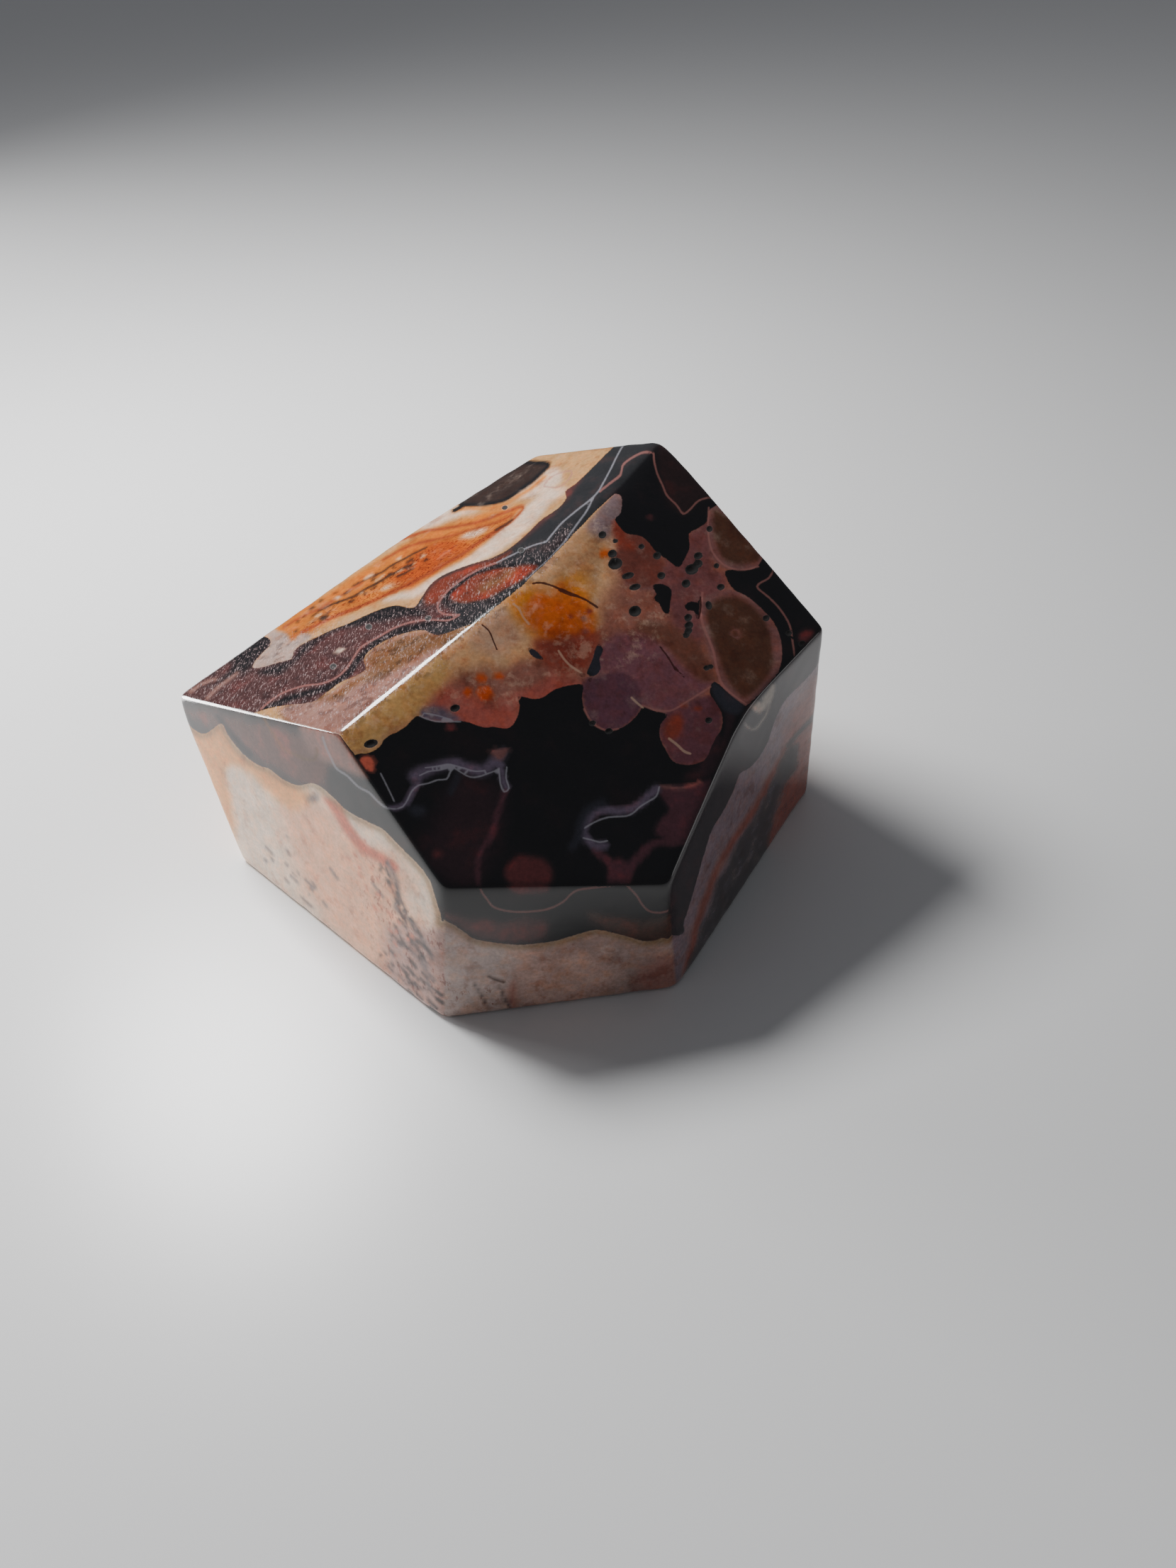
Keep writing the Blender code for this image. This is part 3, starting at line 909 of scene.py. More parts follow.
def right_marks():
    """The right wall and cheek: a dark band, a pink-white band, and orange and dark layers to the foot."""
    return [
        area("ground", "light", "right_white", 1, "880,820 880,1480 1260,1480 1260,820"),
        area("pink_cheek", "light", "right_pink", 1.6, "1150,955 1185,985 1165,1115 1112,1112 1100,1062 "
             "1122,1000"),
        area("red_low", "light", "right_red", 1.2, "1092,1150 1108,1105 1160,1090 1150,1140 1092,1220 "
             "1078,1194"),
        stroke("orange_seam", "light", "right_red", 0.7, 9, "1105,1060 1085,1102 1070,1132 1055,1157 "
               "1040,1178 1025,1203 1010,1228 1001,1255 990,1285 980,1315 975,1345 970,1375"),
        area("streak_band", "light", "right_streak", 0.7, "1100,1078 1087,1110 1077,1130 1067,1150 "
             "1052,1172 1038,1197 1023,1227 1011,1244 1007,1262 1001,1287 988,1312 980,1342 970,1372 "
             "962,1412 1000,1390 1075,1235 1083,1190 1092,1150 1102,1120 1126,1050"),
        oval("grey_patch", "light", "right_grey", 0.9, "1111,1075", "24,50", 20),
        stroke("grey_vein", "light", "right_grey", 0.5, 5, "1158,1002 1140,1020 1125,1035 1110,1052"),
        dark("right_band", "1200,870 1166,908 1155,935 1140,955 1125,970 1110,985 1100,1000 1095,1010 "
             "1085,1035 1075,1060 1065,1075 1055,1085 1045,1090 1040,1100 1035,1115 1020,1145 1005,1170 "
             "995,1200 985,1235 975,1270 965,1300 958,1320 880,1320 930,1160 1030,960 1140,830"),
        area("band_ground", "deep", "right_band", 1, "850,800 850,1450 1260,1450 1260,800"),
        area("cream_segment", "deep", "nodule_cream", 0.5, "1060,997 1075,985 1093,965 1087,990 1070,1006"),
        stroke("pale_arc", "deep", "nodule_cream", 0.5, 3, "1090,968 1083,1000 1070,1020 1058,1028 "
               "1050,1021"),
        oval("nodule_speck", "deep", "near_black", 0.3, "1073,988", "5,4"),
    ]


PITS = {
    "main": "850,754,9,8 864,781,10,9 868,795,16,13 886,812,14,7 905,771,7,6 927,784,9,8 933,812,9,8 "
            "896,828,13,7 896,862,14,12 985,784,10,8 985,795,10,9 976,803,15,12 968,823,10,9 1011,798,6,6 "
            "1017,828,9,7 971,871,9,8 972,882,10,8 971,890,9,7 968,896,8,6 1000,854,7,10 1081,872,8,7 "
            "1001,746,7,7 997,942,7,6 1003,940,6,5 1000,1016,8,7 836,1020,8,6 859,1031,9,6 1132,908,8,7 "
            "523,1049,16,9 642,999,11,8 868,763,6,5 1113,893,7,6",
    "left_top": "712,716,7,5 520,884,7,6 604,872,7,5 735,776,7,5 470,940,7,6",
}
PIT_RINGS = (0.0, 0.55, 1.0, 1.4)
PIT_SIZE = 1.3
PIT_DEPTH = 0.3
CRACK_DEPTH = 0.07


def flecks(name, colour, count, spread, length, slant, path):
    """Short strokes scattered beside a path, all at one slant. Sizes are in pixels."""
    path = pairs(path)
    step = np.array([cos(radians(slant)), sin(radians(slant))])
    strokes = []
    for index in range(count):
        place = (index + 0.5) / count * (len(path) - 1)
        start, end = path[int(place)], path[int(place) + 1]
        aside = spread * np.array([sin(index * 2.4), sin(index * 4.1 + 1)])
        middle = start + (end - start) * (place % 1) + aside
        half = step * length * (0.5 + 0.35 * sin(index * 5.3)) / 2
        width = 2.0 + 1.2 * sin(index * 3.7)
        points = np.array([middle - half, middle + half])
        strokes.append(Mark(f"{name}_{index}", "stroke", "light", colour, 0.36, width, 0, points))
    return strokes


def left_flecks():
    """Grey mottling down the left wall's foot, and rosy and grey flecks across its middle."""
    return (flecks("vein", "fleck_grey", 26, 6, 16, 60, "536,1216 558,1256 570,1290 590,1330")
            + flecks("foot", "fleck_grey", 60, 17, 20, 50, "566,1310 584,1346 600,1392 614,1440")
            + flecks("heel", "fleck_grey", 16, 12, 14, 50, "540,1330 566,1376 600,1420")
            + flecks("rosy", "stripe_red", 22, 16, 9, 55, "500,1190 520,1240 545,1300 575,1340")
            + flecks("middle", "vein_grey", 12, 22, 13, 55, "380,1190 420,1236 440,1260"))


def right_flecks():
    """Pale slanting streaks in the dark layer of the right wall."""
    return flecks("streak", "right_fleck", 44, 10, 24, -62, "1104,1096 1076,1160 1040,1226 1010,1290 "
                  "984,1360")


def left_top_flecks():
    """Brown and black dashes in the rusty bands."""
    return (flecks("rusty", "umber", 30, 9, 10, -32, "414,884 460,856 510,826 560,804 600,784")
            + flecks("pale", "cream_white", 10, 8, 14, -32, "440,866 500,832 560,800 600,780"))


def pit_marks(face):
    """Small open pits, each given by its middle, width and height, and painted near-black inside as shade."""
    pits = pairs(PITS.get(face, ""))
    return [spot(f"pit_{index}", "pit", f"{pit[0]},{pit[1]}", f"{pit[2] * PIT_SIZE},{pit[3] * PIT_SIZE}", -15)
            for index, pit in enumerate(pits)]


# The facets of each face that is drawn on, and its marks, lowest first.
DRAWN_FACES = {
    "left_top": (["left_top"], left_top_marks() + left_top_flecks() + pit_marks("left_top")),
    "main": (["face_lower", "face_upper"], main_marks() + pit_marks("main")),
    "front": (["front_wall"], front_marks()),
    "left": (["left_wall"], left_marks() + left_flecks()),
    "right": (["right_wall", "right_cheek"], right_marks() + right_flecks()),
}
RIMMED_FACES = ("front", "left")
LINE_LAYERS = ("white", "pink", "crack", "pale", "pit")
MASKS = ("sparkle", "mottle", "bands", "veil", "dent")


def curve_through(mark):
    """A smooth curve through a mark's points, closed for an area."""
    points = mark.points
    closed = mark.kind == "area"
    count = len(points)
    curve = []
    for index in range(count if closed else count - 1):
        near = [(index + step) % count if closed else min(max(index + step, 0), count - 1)
                for step in (-1, 0, 1, 2)]
        before, start, end, after = points[near]
        steps = max(1, round(float(np.linalg.norm(end - start)) / CURVE_STEP))
        for part in np.arange(steps) / steps:
            curve.append(0.5 * (2 * start + (end - before) * part
                                + (2 * before - 5 * start + 4 * end - after) * part ** 2
                                + (3 * start - before - 3 * end + after) * part ** 3))
    if not closed:
        curve.append(points[-1])
    return np.array(curve)


def path_distance(points, path, closed):
    """The distance in pixels from points to a path, negative inside a closed one."""
    nearest = np.full(len(points), np.inf)
    inside = np.zeros(len(points), bool)
    starts = path if closed else path[:-1]
    ends = np.roll(path, -1, axis=0) if closed else path[1:]
    for start, end in zip(starts, ends):
        side = end - start
        offset = points - start
        share = np.clip(offset @ side / max(side @ side, 1e-9), 0, 1)
        gap = offset - share[:, None] * side
        nearest = np.minimum(nearest, (gap ** 2).sum(axis=1))
        if closed:
            crosses = (start[1] > points[:, 1]) != (end[1] > points[:, 1])
            rise = side[1] if side[1] else 1e-9
            inside ^= crosses & (offset[:, 0] < offset[:, 1] * side[0] / rise)
    nearest = np.sqrt(nearest)
    return np.where(inside, -nearest, nearest)


def waver(points, size):
    """A smooth field that wanders between about -1 and 1 over distances of that size."""
    x, y = (points[:, :2] / size).T
    z = points[:, 2] / size if points.shape[1] > 2 else x * 0.37 - y * 0.21
    return (np.sin(x + 2.1 * np.sin(0.7 * y + 1.3)) + np.sin(1.3 * y + 1.9 * np.sin(0.9 * z + 0.5))
            + np.sin(1.1 * z + 2.3 * np.sin(0.8 * x + 2.2))) / 3


def wavered(points, reach):
    """Pixels moved about by up to the reach, in large and small wanders."""
    across = waver(points, 23.0) + 0.6 * waver(points + 300.0, 9.0)
    down = waver(points + 500.0, 21.0) + 0.6 * waver(points + 900.0, 8.0)
    return points + reach * np.stack([across, down], axis=1)


def smooth_step(value):
    value = np.clip(value, 0, 1)
    return value * value * (3 - 2 * value)


# A thin tan rim lies beside the dark band on the walls: how far out, how wide, and how much of it covers.
TAN_RIM_OUT = 0.20
TAN_RIM_WIDTH = 0.35
TAN_RIM_SHARE = 0.6


def face_fields(pixels, marks, rimmed):
    """Colours and distances at pixels, from the marks of one face."""
    count = len(pixels)
    fields = {layer: np.full(count, FAR) for layer in LINE_LAYERS + ("dark",)}
    fields["light"] = np.zeros((count, 3))
    fields["deep"] = np.zeros((count, 3))
    for mask in MASKS:
        fields[mask] = np.zeros(count)
    for mark in marks:
        curve = curve_through(mark)
        closed = mark.kind == "area"
        reach = (mark.soft if mark.soft else FAR) * PIXELS_PER_MM
        reach += mark.width / 2 + 12
        low, high = curve.min(axis=0) - reach, curve.max(axis=0) + reach
        chosen = ((pixels > low) & (pixels < high)).all(axis=1)
        if not chosen.any():
            continue
        near = wavered(pixels[chosen], 3.0 * mark.soft)
        gap = (path_distance(near, curve, closed) - mark.width / 2) / PIXELS_PER_MM
        if mark.layer in ("light", "deep"):
            cover = smooth_step(0.5 - gap / mark.soft)[:, None]
            colour = np.array(COLOURS[mark.colour])
            fields[mark.layer][chosen] += cover * (colour - fields[mark.layer][chosen])
        elif mark.layer in MASKS:
            cover = smooth_step(0.5 - gap / mark.soft)
            fields[mark.layer][chosen] = np.maximum(fields[mark.layer][chosen], cover)
        else:
            fields[mark.layer][chosen] = np.minimum(fields[mark.layer][chosen], gap)
        if mark.layer == "pit":
            radius = np.linalg.norm(mark.points - mark.points.mean(axis=0), axis=1).min() / PIXELS_PER_MM
            fields["dent"][chosen] = np.maximum(fields["dent"][chosen],
                                                PIT_DEPTH * radius * smooth_step(-gap / radius))
        if mark.layer == "crack":
            half = mark.width / 2 / PIXELS_PER_MM + 0.05
            fields["dent"][chosen] = np.maximum(fields["dent"][chosen],
                                                CRACK_DEPTH * smooth_step(0.3 - gap / half))
    if rimmed:
        rim = np.exp(-((fields["dark"] - TAN_RIM_OUT) / TAN_RIM_WIDTH) ** 2)[:, None]
        fields["light"] += TAN_RIM_SHARE * rim * (np.array(COLOURS["tan_rim"]) - fields["light"])
    return fields


# How thick the dark band is under the far rim, in mm, beside each corner. Below 0 there is none.
BAND_UNDER_RIM = {"left_tip": 3.0, "rim_middle": -2.0, "shoulder": -1.0, "apex": 9.0, "right_tip": 5.0}
BAND_SMOOTHNESS = 3.0

# Layers below that band: depth in mm, half width in mm, how much of the colour covers, and the colour.
HIDDEN_LAYERS = (
    (1.8, 1.6, 0.7, "wall_orange"),
    (0.3, 0.4, 0.6, "tan_rim"),
    (7.5, 0.5, 0.5, "stripe_red"),
    (9.2, 1.5, 0.5, "wall_peach"),
    (10.6, 0.3, 0.6, "vein_grey"),
    (16.0, 3.0, 0.6, "wall_orange"),
    (19.5, 0.4, 0.5, "stripe_red"),
    (23.0, 0.5, 0.5, "vein_grey"),
    (27.0, 2.5, 0.6, "wall_peach"),
)
SEAM_REACH = 3.0


def under_rim(points, planes, corners):
    """How far points are under the two top facets, and how thick the dark band is there, in mm."""
    depths = [planes[top][1] - points @ planes[top][0] for top in ("left_top", "face_upper")]
    weights = np.array([1 / (np.sum((points - corners[name]) ** 2, axis=1) + BAND_SMOOTHNESS ** 2) ** 2
                        for name in BAND_UNDER_RIM])
    band = np.array(list(BAND_UNDER_RIM.values())) @ weights / weights.sum(axis=0)
    return np.minimum(*depths), band


def hidden_fields(points, planes, corners):
    """Colours and distances for the walls that the photograph doesn't show, and for the base."""
    depth, band = under_rim(points, planes, corners)
    depth = depth + 1.3 * waver(points, 3.4) + 0.5 * waver(points + 40.0, 1.2) + 0.2 * waver(points, 0.5)
    below = depth - band
    count = len(points)
    fields = {layer: np.full(count, FAR) for layer in LINE_LAYERS}
    blotches = 0.6 + 2.2 * waver(points + 80.0, 4.3) + 0.5 * waver(points, 1.4)
    on_base = np.exp(-(points[:, 2] / 1.5) ** 2)
    fields["dark"] = np.clip(below * (1 - on_base) + (blotches + 0.9) * on_base, -FAR, FAR)
    light = np.array(COLOURS["wall_white"]) + np.zeros((count, 3))
    for level, half, share, colour in HIDDEN_LAYERS:
        width = half * (1 + 0.6 * waver(points + 7.0 * level, 2.3))
        patchy = share * smooth_step(0.7 + 0.8 * waver(points + 11.0 * level, 3.7))
        cover = (patchy * np.exp(-((below - level) / width) ** 2))[:, None]
        light += cover * (np.array(COLOURS[colour]) - light)
    warm = smooth_step(0.5 + 0.8 * waver(points + 20.0, 5.0))[:, None]
    light += 0.5 * warm * (np.array(COLOURS["wall_peach"]) - light)
    fields["light"] = light
    rusty = smooth_step(0.4 + waver(points + 60.0, 2.7))[:, None]
    fields["deep"] = (1 - 0.5 * rusty) * COLOURS["band_grey"] + 0.5 * rusty * COLOURS["band_brown"]
    for mask in MASKS:
        fields[mask] = np.zeros(count)
    fields["mottle"] += 0.6
    return fields


def stone_fields(skin):
    """All the fields at each vertex. Faces that share a vertex share its value evenly."""
    sharp = np.array(skin.places)
    names = LINE_LAYERS + MASKS + ("dark", "light", "deep")
    total = {}
    weight = np.zeros(len(sharp))
    for face, (facets, marks) in DRAWN_FACES.items():
        chosen = np.unique(np.concatenate([skin.facet_ids[facet] for facet in facets]))
        found = face_fields(to_pixels(sharp[chosen]), marks, face in RIMMED_FACES)
        for name in names:
            if name not in total:
                total[name] = np.zeros((len(sharp),) + found[name].shape[1:])
            total[name][chosen] += found[name]
        weight[chosen] += 1
    drawn = weight > 0
    for name in names:
        share = weight[drawn] if total[name].ndim == 1 else weight[drawn][:, None]
        total[name][drawn] /= share
    hidden = np.flatnonzero(~drawn)
    own = hidden_fields(sharp[hidden], skin.planes, skin.corners)
    unseen = np.concatenate([skin.facet_ids[name] for name in HIDDEN_FACETS])
    rim = np.intersect1d(np.flatnonzero(drawn), unseen)
    nearest, gap = nearest_of(sharp[hidden], sharp[rim])
    share = np.exp(-(gap / SEAM_REACH) ** 2)
    for name in names:
        mixed = share if own[name].ndim == 1 else share[:, None]
        if name in ("dark", "light", "deep"):
            own[name] = own[name] + mixed * (total[name][rim[nearest]] - own[name])
        total[name][hidden] = own[name]
    return total


def nearest_of(points, choices):
    """The nearest choice to each point, and how far it is."""
    nearest = np.zeros(len(points), int)
    gaps = np.zeros(len(points))
    block = 2000
    for start in range(0, len(points), block):
        some = points[start:start + block]
        distances = np.linalg.norm(some[:, None] - choices[None], axis=2)
        nearest[start:start + block] = distances.argmin(axis=1)
        gaps[start:start + block] = distances.min(axis=1)
    return nearest, gaps


# Where paths crowd each other, the layers named first are cut into the mesh first.
CUT_ORDER = {"pit": 0, "crack": 1, "white": 2, "pink": 3, "dark": 4}


def drawn_paths(facet, plane):
    """The paths of a facet's sharp marks, laid on its plane."""
    paths = []
    for facets, marks in DRAWN_FACES.values():
        if facet not in facets:
            continue
        sharp = [mark for mark in marks if mark.soft <= CUT_SOFTNESS and len(mark.points) > 2]
        for mark in sorted(sharp, key=lambda mark: CUT_ORDER.get(mark.layer, len(CUT_ORDER))):
            curve = curve_through(mark)
            if mark.kind == "area":
                curve = np.concatenate([curve, curve[:1]])
            sizes = PIT_RINGS if mark.layer == "pit" else (1.0,)
            middle = mark.points.mean(axis=0)
            for size in sizes:
                paths.append(onto_plane(middle + size * (curve - middle), plane))
    return paths


def to_linear(colour):
    """A colour from 0 to 255 as a renderer's linear one."""
    share = np.asarray(colour) / 255
    return np.where(share < 0.04045, share / 12.92, ((share + 0.055) / 1.055) ** 2.4)


class Nodes:
    """Short ways to add nodes to one material."""

    def __init__(self, name):
        self.material = bpy.data.materials.new(name)
        self.material.use_nodes = True
        self.tree = self.material.node_tree
        self.surface = self.tree.nodes["Principled BSDF"]

    def put(self, socket, value):
        if isinstance(value, bpy.types.NodeSocket):
            self.tree.links.new(value, socket)
        else:
            socket.default_value = value

    def add(self, kind, inputs, **settings):
        node = self.tree.nodes.new(kind)
        for name, value in settings.items():
            setattr(node, name, value)
        for name, value in inputs.items():
            self.put(node.inputs[name], value)
        return node

    def places(self, stretch=(1.0, 1.0, 1.0)):
        """Places on the stone in mm, divided by the stretch."""
        scale = [1 / MM / amount for amount in stretch]
        source = self.add("ShaderNodeTexCoord", {})
        return self.add("ShaderNodeVectorMath", {0: source.outputs["Object"], 1: scale},
                        operation="MULTIPLY").outputs[0]

    def noise(self, per_mm, detail, places, rough=0.55):
        return self.add("ShaderNodeTexNoise", {"Vector": places, "Scale": per_mm, "Detail": detail,
                                               "Roughness": rough}).outputs["Fac"]

    def field(self, name, output="Fac"):
        return self.add("ShaderNodeAttribute", {}, attribute_name=name).outputs[output]

    def math(self, operation, first, second=0.0, third=0.0):
        return self.add("ShaderNodeMath", {0: first, 1: second, 2: third}, operation=operation).outputs[0]

    def ramp(self, value, low, high, start=0.0, end=1.0):
        """Goes smoothly from start to end as the value goes from low to high."""
        return self.add("ShaderNodeMapRange", {0: value, 1: low, 2: high, 3: start, 4: end},
                        interpolation_type="SMOOTHSTEP").outputs[0]

    def tint(self, colour, tone):
        """The colour multiplied by a tone."""
        return self.mix(1.0, colour, (*tone, 1.0), "MULTIPLY")

    def masked(self, value, mask, most=1.0):
        """The value where a mask lies, times the most that it may cover."""
        return self.math("MULTIPLY", self.math("MULTIPLY", value, self.field(mask)), most)

    def mix(self, share, first, second, blend="MIX"):
        node = self.add("ShaderNodeMix", {}, data_type="RGBA", blend_type=blend)
        for index, value in ((0, share), (6, first), (7, second)):
            self.put(node.inputs[index], value)
        return node.outputs[2]


def paint(colour):
    """A named colour as a socket value."""
    return (*to_linear(COLOURS[colour]), 1.0)


# Crisp lines: layer, colour, how much of it covers, and the softness of its sides in mm.
LINE_LOOKS = (
    ("pale", "pale_line", 0.55, 0.14),
    ("pink", "pink_line", 0.50, 0.14),
    ("white", "white_line", 0.50, 0.16),
    ("crack", "crack_red", 0.90, 0.08),
    # the pits are painted near-black as shade in their hollows
    ("pit", "pit_shade", 1.0, 0.10),
)


def light_colour(nodes, places):
    """The light layers: warm, pale, milky and smoky patches, mottling, fine bands and cloudy veils."""
    light = nodes.field("light", "Color")
    patch = nodes.noise(0.75, 4.0, places)
    streak = nodes.noise(0.9, 4.0, nodes.places((1.6, 1.6, 0.5)))
    warm = nodes.tint(light, (1.12, 0.93, 0.80))
    light = nodes.mix(nodes.ramp(patch, 0.42, 0.68, 0.0, 0.8), light, warm)
    pale = nodes.tint(light, (1.22, 1.18, 1.18))
    light = nodes.mix(nodes.ramp(streak, 0.52, 0.75, 0.0, 0.7), light, pale)

    haze = nodes.noise(0.42, 7.0, places, 0.62)
    milky = nodes.mix(0.4, light, (0.62, 0.47, 0.38, 1.0))
    light = nodes.mix(nodes.ramp(haze, 0.52, 0.78, 0.0, 0.35), light, milky)
    smoky = nodes.tint(light, (0.66, 0.48, 0.42))
    light = nodes.mix(nodes.ramp(haze, 0.32, 0.48, 0.75, 0.0), light, smoky)

    veins = nodes.noise(1.1, 5.0, nodes.places((0.8, 0.8, 1.5)), 0.68)
    stained = nodes.tint(light, (0.50, 0.30, 0.27))
    light = nodes.mix(nodes.masked(nodes.ramp(veins, 0.55, 0.64), "mottle", 0.85), light, stained)

    rings = nodes.noise(0.55, 2.0, nodes.places((2.2, 1.0, 1.0)))
    wave = nodes.math("SINE", nodes.math("MULTIPLY", rings, 95.0))
    banded = nodes.tint(light, (0.42, 0.22, 0.14))
    light = nodes.mix(nodes.masked(nodes.ramp(wave, 0.35, 0.9), "bands", 0.8), light, banded)

    swirl = nodes.add("ShaderNodeTexNoise", {"Vector": places, "Scale": 0.5, "Detail": 3.0}).outputs["Color"]
    bent = nodes.add("ShaderNodeVectorMath", {0: swirl, 1: (1.4, 1.4, 1.4), 2: places},
                     operation="MULTIPLY_ADD").outputs[0]
    wisps = nodes.noise(0.7, 7.0, bent, 0.66)
    return nodes.mix(nodes.masked(nodes.ramp(wisps, 0.50, 0.66), "veil", 0.20), light, paint("veil_pale"))


def deep_colour(nodes, cloud):
    """The dark layers, rusty in patches."""
    deep = nodes.field("deep", "Color")
    rusty = nodes.tint(deep, (1.9, 1.1, 1.0))
    return nodes.mix(nodes.ramp(cloud, 0.5, 0.72, 0.0, 0.8), deep, rusty)


def stone_material():
    """Banded, nodular chalcedony with a high polish, fine scratches, and a little sparkle painted into the
    colour as glints.
    """
    nodes = Nodes("polished_chalcedony")
    places = nodes.places()
    cloud = nodes.noise(0.35, 5.0, places)
    grain = nodes.noise(2.6, 4.0, places, 0.65)

    wander = nodes.math("MULTIPLY_ADD", nodes.noise(3.2, 3.0, places), 0.16, -0.08)
    border = nodes.math("ADD", nodes.field("dark"), wander)
    deep = deep_colour(nodes, cloud)
    colour = nodes.mix(nodes.ramp(border, -0.06, 0.06), deep, light_colour(nodes, places))

    # Hairline scratches raise the roughness, and their glare is painted into the colour as pale streaks.
    hairs = nodes.noise(3.0, 5.0, nodes.places((0.5, 2.4, 1.0)), 0.7)
    scratch_glare = nodes.masked(nodes.ramp(hairs, 0.50, 0.72), "sparkle")
    colour = nodes.mix(nodes.math("MULTIPLY", scratch_glare, 0.42), colour, paint("glint_pink"))
    smudge = nodes.ramp(nodes.noise(0.7, 5.0, places, 0.6), 0.50, 0.62)
    colour = nodes.mix(nodes.masked(smudge, "sparkle", 0.75), colour, nodes.tint(colour, (0.36, 0.38, 0.42)))

    shade = nodes.math("MULTIPLY", nodes.ramp(cloud, 0.25, 0.75, 0.84, 1.14),
                       nodes.ramp(grain, 0.3, 0.7, 0.86, 1.12))
    shade_colour = nodes.add("ShaderNodeCombineColor", {0: shade, 1: shade, 2: shade}).outputs[0]
    colour = nodes.mix(1.0, colour, shade_colour, "MULTIPLY")

    fine = nodes.math("MULTIPLY_ADD", grain, 0.10, -0.05)
    for layer, name, cover, soft in LINE_LOOKS:
        edge = nodes.math("ADD", nodes.field(layer), fine)
        colour = nodes.mix(nodes.ramp(edge, -soft / 2, soft / 2, cover, 0.0), colour, paint(name))

    # Painted glints: pale specks in the colour where the sparkle lies, also bumped.
    cells = nodes.add("ShaderNodeTexVoronoi", {"Vector": places, "Scale": 3.0})
    cell = nodes.add("ShaderNodeSeparateColor", {0: cells.outputs["Color"]}).outputs[0]
    chosen = nodes.ramp(cell, 0.62, 0.66)
    glint_specks = nodes.math("MULTIPLY", nodes.ramp(cells.outputs["Distance"], 0.10, 0.24, 1.0, 0.0), chosen)
    sparkle = nodes.masked(glint_specks, "sparkle")
    colour = nodes.mix(nodes.math("MULTIPLY", sparkle, 0.75), colour, paint("glint_pink"))

    surface = nodes.surface
    nodes.put(surface.inputs["Base Color"], colour)
    surface.inputs["IOR"].default_value = 1.54
    gloss = nodes.ramp(nodes.noise(0.5, 3.0, places), 0.3, 0.7, 0.07, 0.13)
    scuffed = nodes.math("MULTIPLY_ADD", scratch_glare, 0.35, gloss)
    in_pit = nodes.ramp(nodes.field("pit"), -0.05, 0.10, 0.85, 0.0)
    nodes.put(surface.inputs["Roughness"], nodes.math("ADD", scuffed, in_pit))

    scratches = nodes.noise(2.0, 2.0, nodes.places((6.0, 0.35, 1.0)))
    relief = nodes.math("MULTIPLY_ADD", sparkle, 1.5, scratches)
    bump = nodes.add("ShaderNodeBump", {"Height": relief, "Distance": 0.000004, "Strength": 0.6})
    nodes.put(surface.inputs["Normal"], bump.outputs[0])
    return nodes.material


def inside_box(places, low, high):
    """Presses the last of the length and width softly inward, to keep the skin within the solid's box."""
    kept = places.copy()
    for axis in (0, 1):
        for side, limit in ((-1, low[axis]), (1, high[axis])):
            margin = side * limit - BOX_MARGIN
            past = side * kept[:, axis] - margin
            pressed = margin + PRESS_ROOM * np.tanh(past / PRESS_ROOM)
            kept[:, axis] = np.where(past > 0, side * pressed, kept[:, axis])
    return kept


def store(mesh, name, values):
    """Keeps a field on the mesh for the material."""
    if values.ndim == 2:
        attribute = mesh.attributes.new(name, "FLOAT_COLOR", "POINT")
        solid = np.concatenate([to_linear(values), np.ones((len(values), 1))], axis=1)
        attribute.data.foreach_set("color", solid.astype(np.float32).ravel())
    else:
        attribute = mesh.attributes.new(name, "FLOAT", "POINT")
        attribute.data.foreach_set("value", values.astype(np.float32))


def build_stone(node):
    planes = facet_planes(node)
    corners = sharp_corners(planes)
    skin = Skin(planes, corners)
    for facet in FACETS:
        skin.fill(facet, drawn_paths(facet, planes[facet]))
    fields = stone_fields(skin)
    places, outward = rounded(np.array(skin.places), planes, corners)
    low, high = (np.array(corner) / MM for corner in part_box("stone"))
    dents = fields.pop("dent")
    sunk = dents + HAND_POLISH * (1 + waver(np.array(skin.places), POLISH_WAVE))
    places = inside_box(places, low, high) - outward * sunk[:, None]
    mesh = bpy.data.meshes.new("polished_stone")
    mesh.from_pydata((places * MM).tolist(), [], skin.faces)
    mesh.shade_smooth()
    computed = np.array([vertex.normal for vertex in mesh.vertices])
    true_normals = np.where((dents > 0)[:, None], computed, outward + WORN * (computed - outward))
    mesh.normals_split_custom_set_from_vertices(true_normals.tolist())
    for name, values in fields.items():
        store(mesh, name, values)
    stone = bpy.data.objects.new("polished_stone", mesh)
    bpy.context.scene.collection.objects.link(stone)
    return stone


def make_camera():
    camera = bpy.data.objects.new("photo_camera", bpy.data.cameras.new("photo_camera"))
    camera.data.sensor_width = SENSOR_MM
    camera.data.lens = FOCAL_PIXELS / PHOTO_HEIGHT * SENSOR_MM
    camera.data.clip_start = 0.005
    right, down, forward = CAMERA_AXES
    turn = Matrix((right, -down, -forward)).transposed().to_4x4()
    camera.matrix_world = Matrix.Translation(EYE * MM) @ turn
    bpy.context.scene.collection.objects.link(camera)
    bpy.context.scene.camera = camera


# How far the lamps are from the stone, in metres. Their powers are in watts.
KEY_DISTANCE = 0.23
PANEL_DISTANCE = 0.45


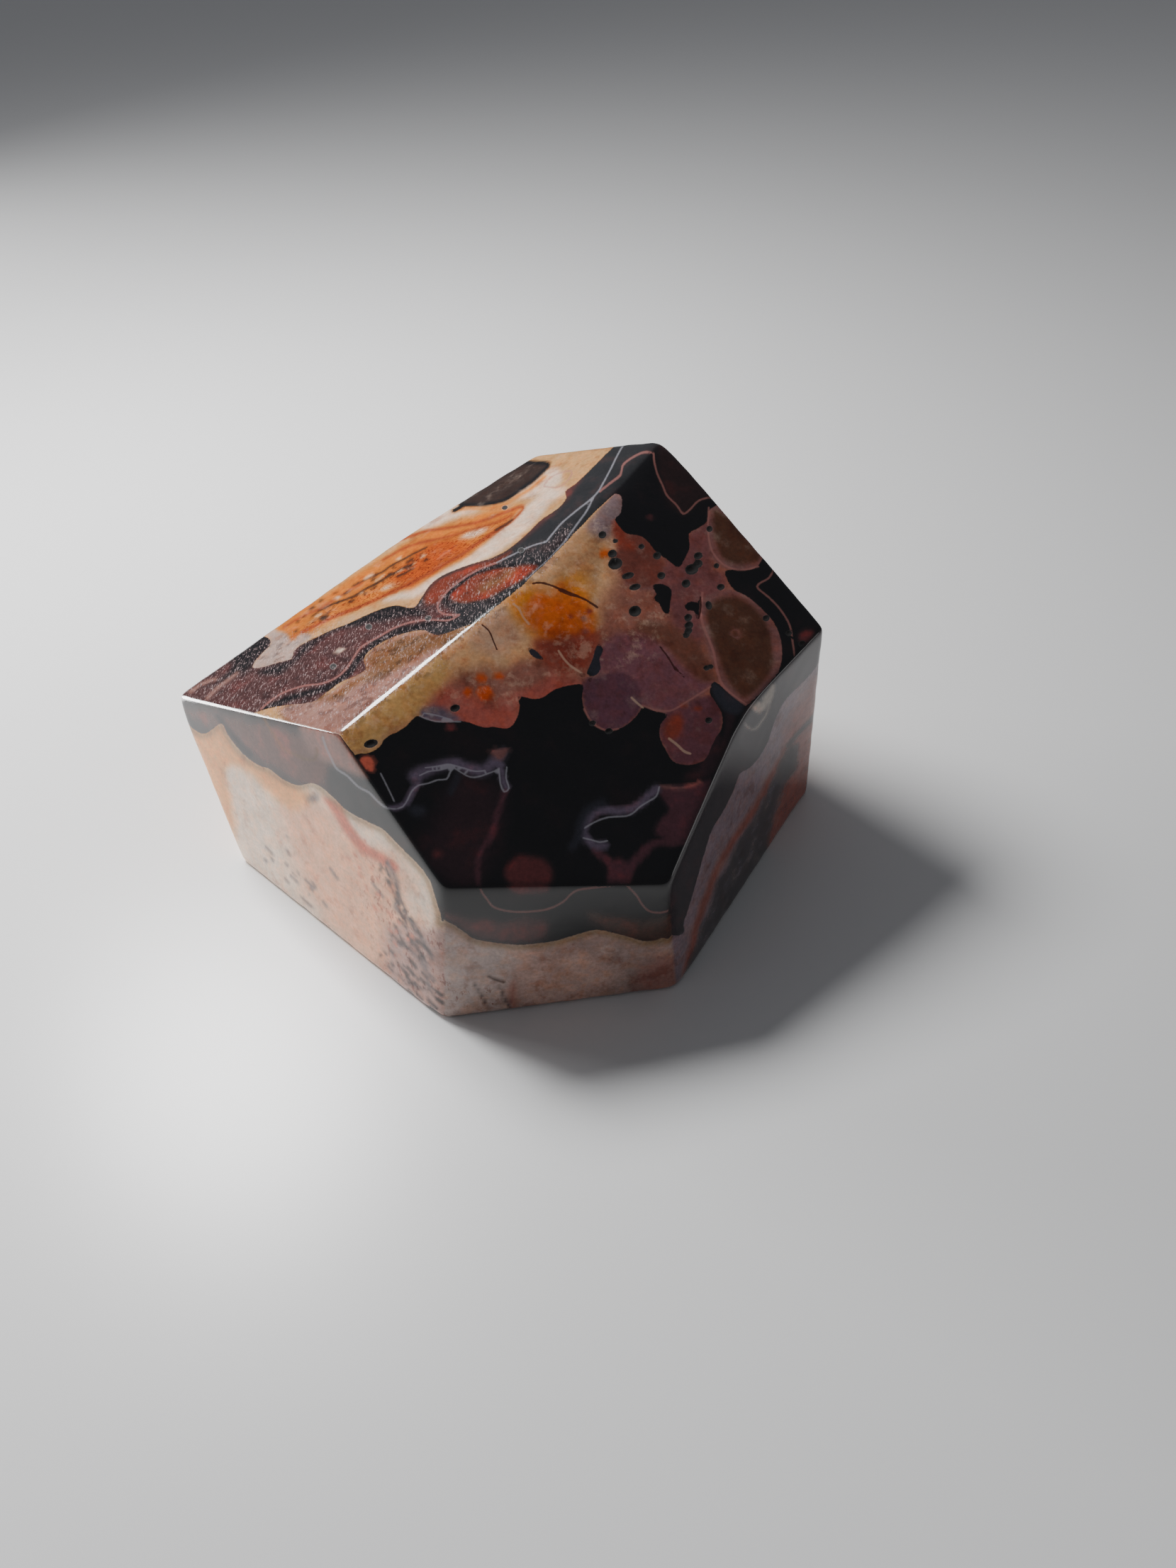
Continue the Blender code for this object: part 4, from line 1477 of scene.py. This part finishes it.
def aimed_lamp(name, kind, direction, distance, power):
    """A lamp that looks at the middle of the stone."""
    lamp = bpy.data.objects.new(name, bpy.data.lights.new(name, kind))
    lamp.data.energy = power
    towards = Vector(direction).normalized()
    lamp.location = towards * distance
    lamp.rotation_euler = towards.to_track_quat("Z", "Y").to_euler()
    bpy.context.scene.collection.objects.link(lamp)
    return lamp


def aimed_panel(name, direction, power, width, height):
    """A rectangular lamp at the panels' distance."""
    panel = aimed_lamp(name, "AREA", direction, PANEL_DISTANCE, power)
    panel.data.shape = "RECTANGLE"
    panel.data.size = width
    panel.data.size_y = height


def make_light():
    """A high lamp at the back left, a low window at the left and a thin strip at the right."""
    key = aimed_lamp("key", "POINT", (-0.447, 0.403, 0.80), KEY_DISTANCE, 3.5)
    key.data.shadow_soft_size = 0.04
    aimed_panel("low_window", (-0.87, 0.47, 0.14), 2.2, 0.18, 0.09)
    aimed_panel("right_strip", (0.97, -0.24, 0.07), 0.07, 0.16, 0.08)
    world = bpy.data.worlds.new("soft_studio")
    world.use_nodes = True
    background = world.node_tree.nodes["Background"]
    background.inputs["Color"].default_value = (0.92, 0.94, 1.0, 1.0)
    background.inputs["Strength"].default_value = 0.15
    bpy.context.scene.world = world


# The floor's radius in metres, and how many sides its round edge has.
FLOOR_RADIUS = 4.0
FLOOR_SIDES = 64


def make_floor():
    """A plain pale floor that fills the view."""
    bpy.ops.mesh.primitive_circle_add(vertices=FLOOR_SIDES, radius=FLOOR_RADIUS, fill_type="NGON")
    floor = bpy.context.object
    floor.name = "floor"
    floor.data.materials.append(plain_material("pale_floor", (0.76, 0.76, 0.76), 0.3))


def plain_material(name, colour, roughness):
    material = bpy.data.materials.new(name)
    material.use_nodes = True
    shader = material.node_tree.nodes["Principled BSDF"]
    shader.inputs["Base Color"].default_value = (*colour, 1.0)
    shader.inputs["Roughness"].default_value = roughness
    return material


stone = build_stone(frame["nodes"]["stone"])
stone.data.materials.append(stone_material())
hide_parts("stone")
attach(stone, "root")
make_camera()
make_light()
make_floor()
